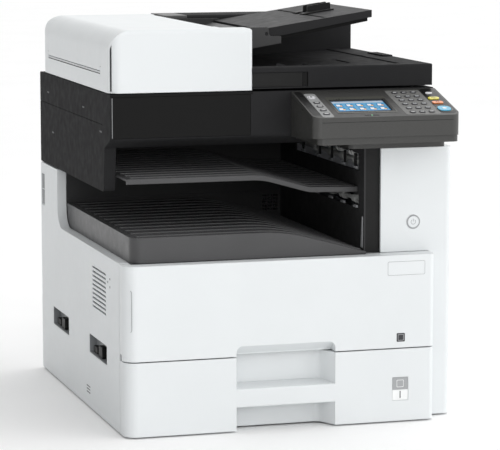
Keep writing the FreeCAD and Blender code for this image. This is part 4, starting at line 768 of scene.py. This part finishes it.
def bay_details():
    lower_low, lower_high = low("lower_exit_tray"), high("lower_exit_tray")
    upper_low, upper_high = low("upper_exit_tray"), high("upper_exit_tray")
    tray_ribs("lower_exit_tray", (lower_low.x + 12.0, lower_high.x - 6.0),
              (lower_low.y + 14.0, lower_high.y - 8.0), 38.0)
    tray_ribs("upper_exit_tray", (upper_low.x + 8.0, upper_high.x - 4.0),
              (upper_low.y + 12.0, upper_high.y - 8.0), 34.0)
    wall_x = upper_high.x + 0.5
    paper_mouth_details(wall_x)
    # groove across the rear wall
    groove = rectangle((left_x + 20.0, 97.0), (344.0, 345.0))
    plates("rear_wall_seam", [groove], on_front(lower_high.y + 0.5), -0.3, 0.15, print_dark, "frame",
           "black_abs")
    # black facing of the jamb, and a painted highlight: a pale tapering sliver on the wall's inner face at
    # the front of the lower paper mouth
    wall_low, wall_high = low("bay_wall"), high("bay_wall")
    facing = rectangle((wall_x + 3.2, wall_high.x - 0.4), (wall_low.z + 1.0, wall_high.z - 0.5))
    plates("jamb_facing", [facing], on_front(wall_low.y), -0.5, 0.2, black_abs, "frame", "black_abs")
    y, z = wall_low.y + 5.0, wall_low.z + 8.0
    sliver = [(y, z), (y + 9.0, z), (y + 3.0, z + 54.0), (y, z + 54.0)]
    # painted highlight, wide at the foot of the wall and narrow at its top
    plates("wall_foot_highlight", [sliver], on_left(wall_x), -0.6, 1.2, print_grey, "frame", "tray_grey", 0.2)
    # narrow grey strip where the front column meets the jamb
    strip = rounded((165.2, 166.6), (wall_low.z + 6.0, wall_high.z - 4.0), 0.5)
    plates("column_strip", [strip], on_front(column_y + 0.2), -0.5, 0.1, print_grey, "frame", "tray_grey")


# ---------------------------------------------------------------- document processor

def eject_wedge(number, start, end, peak):
    """Wedge on the platen cover that steers an ejected original: two corners of its foot, and its peak."""
    height = surface_of("document_lid")
    width = 7.0
    foot_depth = 0.5

    def base(x, y):
        return height(x, y) or lid_top_z - 4.0

    bm = bmesh.new()
    foot = [bm.verts.new(Vector((x, y, base(x, y) - foot_depth)) * MM)
            for x, y in (start, end, (end[0] - 2.0, end[1] + width), (start[0] + 4.0, start[1] + width))]
    x, y, rise = peak
    top = [bm.verts.new(Vector((x - 5.0, y + 2.0, base(x, y) + rise)) * MM),
           bm.verts.new(Vector((x + 7.0, y + 1.0, base(x, y) + rise * 0.8)) * MM)]
    bm.faces.new((foot[0], foot[1], top[1], top[0]))
    bm.faces.new((foot[2], foot[3], top[0], top[1]))
    bm.faces.new((foot[1], foot[2], top[1]))
    bm.faces.new((foot[3], foot[0], top[0]))
    bm.faces.new(list(reversed(foot)))
    bmesh.ops.recalc_face_normals(bm, faces=bm.faces)
    bmesh.ops.bevel(bm, geom=list(bm.edges), offset=0.8 * MM, segments=2, affect="EDGES")
    name = "eject_wedge_%d" % number
    piece(name, finish_mesh(name, bm), charcoal_abs, "document_processor")


def lid_details():
    """Wedges that steer the ejected originals, and the white pressing pad below."""
    eject_wedge(1, (47.6, -168.2), (84.1, -192.5), (62.0, -176.0, 12.0))
    eject_wedge(2, (9.1, -152.9), (45.0, -149.8), (25.0, -148.0, 14.0))
    glass_low, glass_high = low("platen_glass"), high("platen_glass")
    x = (glass_low.x + 50.0, min(glass_high.x, high("document_lid").x) - 6.0)
    y = (glass_low.y + 2.0, glass_high.y - 2.0)
    plates("pressing_pad", [rounded(x, y, 6.0)], on_level(low("document_lid").z), -3.4, 0.1, pad_foam,
           "document_processor", "white_abs", 0.6)


def feeder_details():
    """Feed rollers under the feed cover, fine seams round it, and the sill and ticks on the left side."""
    cover_low, cover_high = low("adf_cover"), high("adf_cover")
    x, z = cover_high.x - 40.0, 634.0
    mid_y = cover_low.y + 208.0
    bm = bmesh.new()
    for y in (mid_y - 24.0, mid_y + 24.0):
        cylinder_mesh(bm, (x, y - 12.0, z), (x, y + 12.0, z), 9.0, 32, 1.0)
    cylinder_mesh(bm, (x, mid_y - 39.0, z), (x, mid_y + 39.0, z), 3.0, 20)
    smooth(piece("feed_rollers", finish_mesh("feed_rollers", bm), roller_grey, "document_processor"))
    top, radius = cover_high.z, 36.0

    def hull(inset):
        """The cover's outline seen from the front, without its right side."""
        arc = [(left_x + radius - (radius - inset) * math.cos(math.radians(a)),
                top - radius + (radius - inset) * math.sin(math.radians(a))) for a in range(0, 91, 9)]
        return [(left_x + inset, cover_low.z + 6.0)] + arc + [(cover_high.x - 12.0, top - inset)]

    bm = bmesh.new()
    for y in (cover_low.y + 6.6, cover_high.y - 7.4):
        add_prism(bm, hull(1.0) + list(reversed(hull(2.2))), on_front(y), -0.6, 0.6)
    piece("feeder_seams", finish_mesh("feeder_seams", bm), print_grey, "document_processor")
    side = on_left(left_x)
    sill = rectangle((cover_low.y + 8.0, cover_high.y - 8.0), (cover_low.z - 3.4, cover_low.z - 0.5))
    plates("feeder_sill", [sill], side, -3.4, -1.2, white_abs, "document_processor", "white_abs")
    ticks = [rectangle((y - 4.0, y + 4.0), (614.9, 615.9)) for y in (cover_low.y + 4.0, cover_high.y - 6.0)]
    plates("feeder_ticks", ticks, side, -0.3, 0.06, print_grey, "feed_cover", "white_abs")


# ---------------------------------------------------------------- sides, rear and inside

def side_details():
    """Left side: vent backing, small slots and holes, hand grips."""
    side = on_left(left_x)
    engraved = (-0.5, 0.06)
    plates("vent_backing", [rounded((-180.0, -74.0), (187.0, 263.0), 1.0)], side, -5.0, -3.4, engine_grey,
           "frame", "engine_grey")
    slots = [rectangle((-53.0, -26.0), (z, z + 2.0)) for z in (27.0, 32.5, 38.0)]
    plates("left_cover_slots", slots, side, *engraved, print_dark, *WHITE_SKIN)
    holes = [circle(y, z, 2.2, 16) for y, z in ((-208.0, 243.0), (-208.0, 257.0), (-193.0, 250.0))]
    plates("left_cover_holes", holes, side, *engraved, print_dark, *WHITE_SKIN)
    # grey lining and black ribs of the two hand grips, and the exhaust slots
    lining, ribs = bmesh.new(), bmesh.new()
    for y in (-182.0, 116.0):
        add_prism(lining, rounded((y + 0.6, y + 131.4), (103.2, 135.8), 2.6), side, -13.9, -13.0)
        add_ring(lining, rounded((y + 0.3, y + 131.7), (102.8, 136.2), 2.8),
                 rounded((y + 1.2, y + 130.8), (103.7, 135.3), 2.2), side, -13.5, -0.6)
        add_prism(ribs, rounded((y + 52.0, y + 78.0), (104.0, 124.0), 2.0), side, -13.0, -4.0, 0.8)
        add_prism(ribs, rounded((y + 96.0, y + 124.0), (104.0, 116.0), 2.0), side, -13.0, -6.0, 0.8)
    for z in (320.5, 350.0):
        add_prism(lining, rounded((rear_y - 32.0, rear_y - 7.0), (z, z + 27.5), 1.0), side, -1.4, -0.9)
    piece("grip_lining", finish_mesh("grip_lining", lining), engine_grey, "frame")
    piece("grip_ribs", finish_mesh("grip_ribs", ribs), black_abs, "frame")
    scanner_slots = [rounded((y, y + 16.0), (z, z + 3.0), 1.0)
                     for y, z in ((266.0, 536.5), (-26.0, 533.5), (227.0, 464.5), (-158.0, 502.5))]
    plates("scanner_slots", scanner_slots, side, *engraved, print_dark, "frame", "charcoal_abs")


def rear_details():
    """Screws round the rear cover, and the rim of the mains inlet."""
    box_low, box_high = low("rear_cover"), high("rear_cover")
    columns, rows = (box_low.x + 12.0, 0.0, box_high.x - 12.0), (20.0, 200.0, 385.0)
    points = [(x, z) for x in columns for z in rows if (x, z) != (columns[1], rows[1])]
    screw_heads("rear_screws", points, on_rear(rear_y), "frame")
    inlet_low, inlet_high = low("power_inlet"), high("power_inlet")

    def inlet_outline(margin, corner):
        return rounded((inlet_low.x - margin, inlet_high.x + margin),
                       (inlet_low.z - margin, inlet_high.z + margin), corner)

    frames("inlet_rim", [(inlet_outline(3.0, 3.0), inlet_outline(-2.6, 1.0))], on_rear(rear_y), -0.1, 0.8,
           black_abs, "frame", "black_abs")


def cassette_details():
    """Lift plate and paper guides in the drawer."""
    box_low, box_high = low("cassette_tray"), high("cassette_tray")
    x = (box_low.x + 12.0, box_high.x - 11.0)
    y = (box_low.y + 8.0, box_high.y - 8.0)
    floor = on_level(box_low.z)
    plate_top = 5.0
    plates("lift_plate", [rounded(x, y, 5.0)], floor, 3.2, plate_top, zinc_steel, "cassette",
           "zinc_steel", 0.3)
    for side, guide_x in (("left", x[0] + 30.0), ("right", x[1] - 34.0)):
        upright = rounded((guide_x, guide_x + 4.0), (y[0] + 90.0, y[0] + 250.0), 1.5)
        foot = rounded((guide_x - 14.0, guide_x + 18.0), (y[0] + 110.0, y[0] + 230.0), 4.0)
        bm = bmesh.new()
        add_prism(bm, upright, floor, plate_top, 74.0, 0.6)
        add_prism(bm, foot, floor, plate_top, 8.0, 0.4)
        name = "paper_guide_" + side
        piece(name, finish_mesh(name, bm), tray_grey, "cassette")


def toner_details():
    """Blank grip wing on the end of the toner container."""
    box_low, box_high = low("toner_container"), high("toner_container")
    cx, cz = (box_low.x + box_high.x) / 2, (box_low.z + box_high.z) / 2
    plates("toner_grip", [rounded((cx - 14.0, cx + 14.0), (cz - 2.5, cz + 2.5), 2.0)], on_front(box_low.y),
           -0.5, 1.6, engine_grey, "frame", "engine_grey", 0.5)


panel_details()
screen_details()
key_details()
power_details()
front_details()
scanner_front_details()
bay_details()
lid_details()
feeder_details()
side_details()
rear_details()
cassette_details()
toner_details()


# ---------------------------------------------------------------- studio

def studio_floor():
    material, nodes, links, shader, place = new_tree("studio_floor")
    patches = spread(nodes, links, noise(nodes, links, place, 3.0), 0.0, 1.0)
    pale = blend(nodes, links, patches, (0.93, 0.93, 0.93), (0.95, 0.95, 0.95))
    links.new(pale, shader.inputs["Base Color"])
    shader.inputs["Roughness"].default_value = 0.9
    reach = 60.0
    bm = bmesh.new()
    bm.faces.new([bm.verts.new((x, y, 0.0)) for x, y in rectangle((-reach, reach), (-reach, reach))])
    mesh = bpy.data.meshes.new("floor")
    bm.to_mesh(mesh)
    bm.free()
    mesh.materials.append(material)
    floor = bpy.data.objects.new("floor", mesh)
    bpy.context.scene.collection.objects.link(floor)


def studio_sky():
    """White surroundings, brighter from the right, so that the left side is in soft shade."""
    world = bpy.data.worlds.new("studio")
    world.use_nodes = True
    nodes, links = world.node_tree.nodes, world.node_tree.links
    split = nodes.new("ShaderNodeSeparateXYZ")
    links.new(nodes.new("ShaderNodeTexCoord").outputs["Generated"], split.inputs["Vector"])
    ramp = nodes.new("ShaderNodeMapRange")
    ramp.inputs["From Min"].default_value = -1.0
    ramp.inputs["To Min"].default_value = 0.25
    ramp.inputs["To Max"].default_value = 1.85
    links.new(split.outputs["X"], ramp.inputs["Value"])
    links.new(ramp.outputs["Result"], nodes["Background"].inputs["Strength"])
    nodes["Background"].inputs["Color"].default_value = (1.0, 1.0, 1.0, 1.0)
    bpy.context.scene.world = world
    bpy.context.scene.view_settings.view_transform = "Standard"


def soft_light(name, position, target, size, power):
    data = bpy.data.lights.new(name, "AREA")
    data.shape = "RECTANGLE"
    data.size, data.size_y = size
    data.energy = power
    light = bpy.data.objects.new(name, data)
    light.location = position
    light.rotation_euler = (Vector(target) - Vector(position)).to_track_quat("-Z", "Y").to_euler()
    bpy.context.scene.collection.objects.link(light)


def camera(position, downward, turn, lens):
    """Camera at a place, tipped down and turned by angles in degrees."""
    data = bpy.data.cameras.new("camera")
    data.lens = lens
    data.sensor_width = 36.0
    data.clip_end = 200.0
    obj = bpy.data.objects.new("camera", data)
    obj.location = position
    obj.rotation_euler = (math.radians(90.0 - downward), 0.0, math.radians(turn))
    bpy.context.scene.collection.objects.link(obj)
    bpy.context.scene.camera = obj


studio_floor()
studio_sky()
soft_light("key", (-1.2, -3.4, 2.6), (0.0, 0.0, 0.3), (2.4, 1.8), 8.0)
soft_light("fill", (2.8, -2.2, 1.6), (0.0, 0.0, 0.3), (2.0, 2.0), 4.0)
soft_light("top", (0.0, 0.3, 3.2), (0.0, 0.0, 0.5), (2.6, 2.6), 3.0)
soft_light("bay", (-0.6, -2.6, 0.75), (-0.1, 0.0, 0.38), (0.9, 0.35), 5.0)
camera((-1.2679, -4.2608, 0.9220), 7.825, -16.757, 178.07)
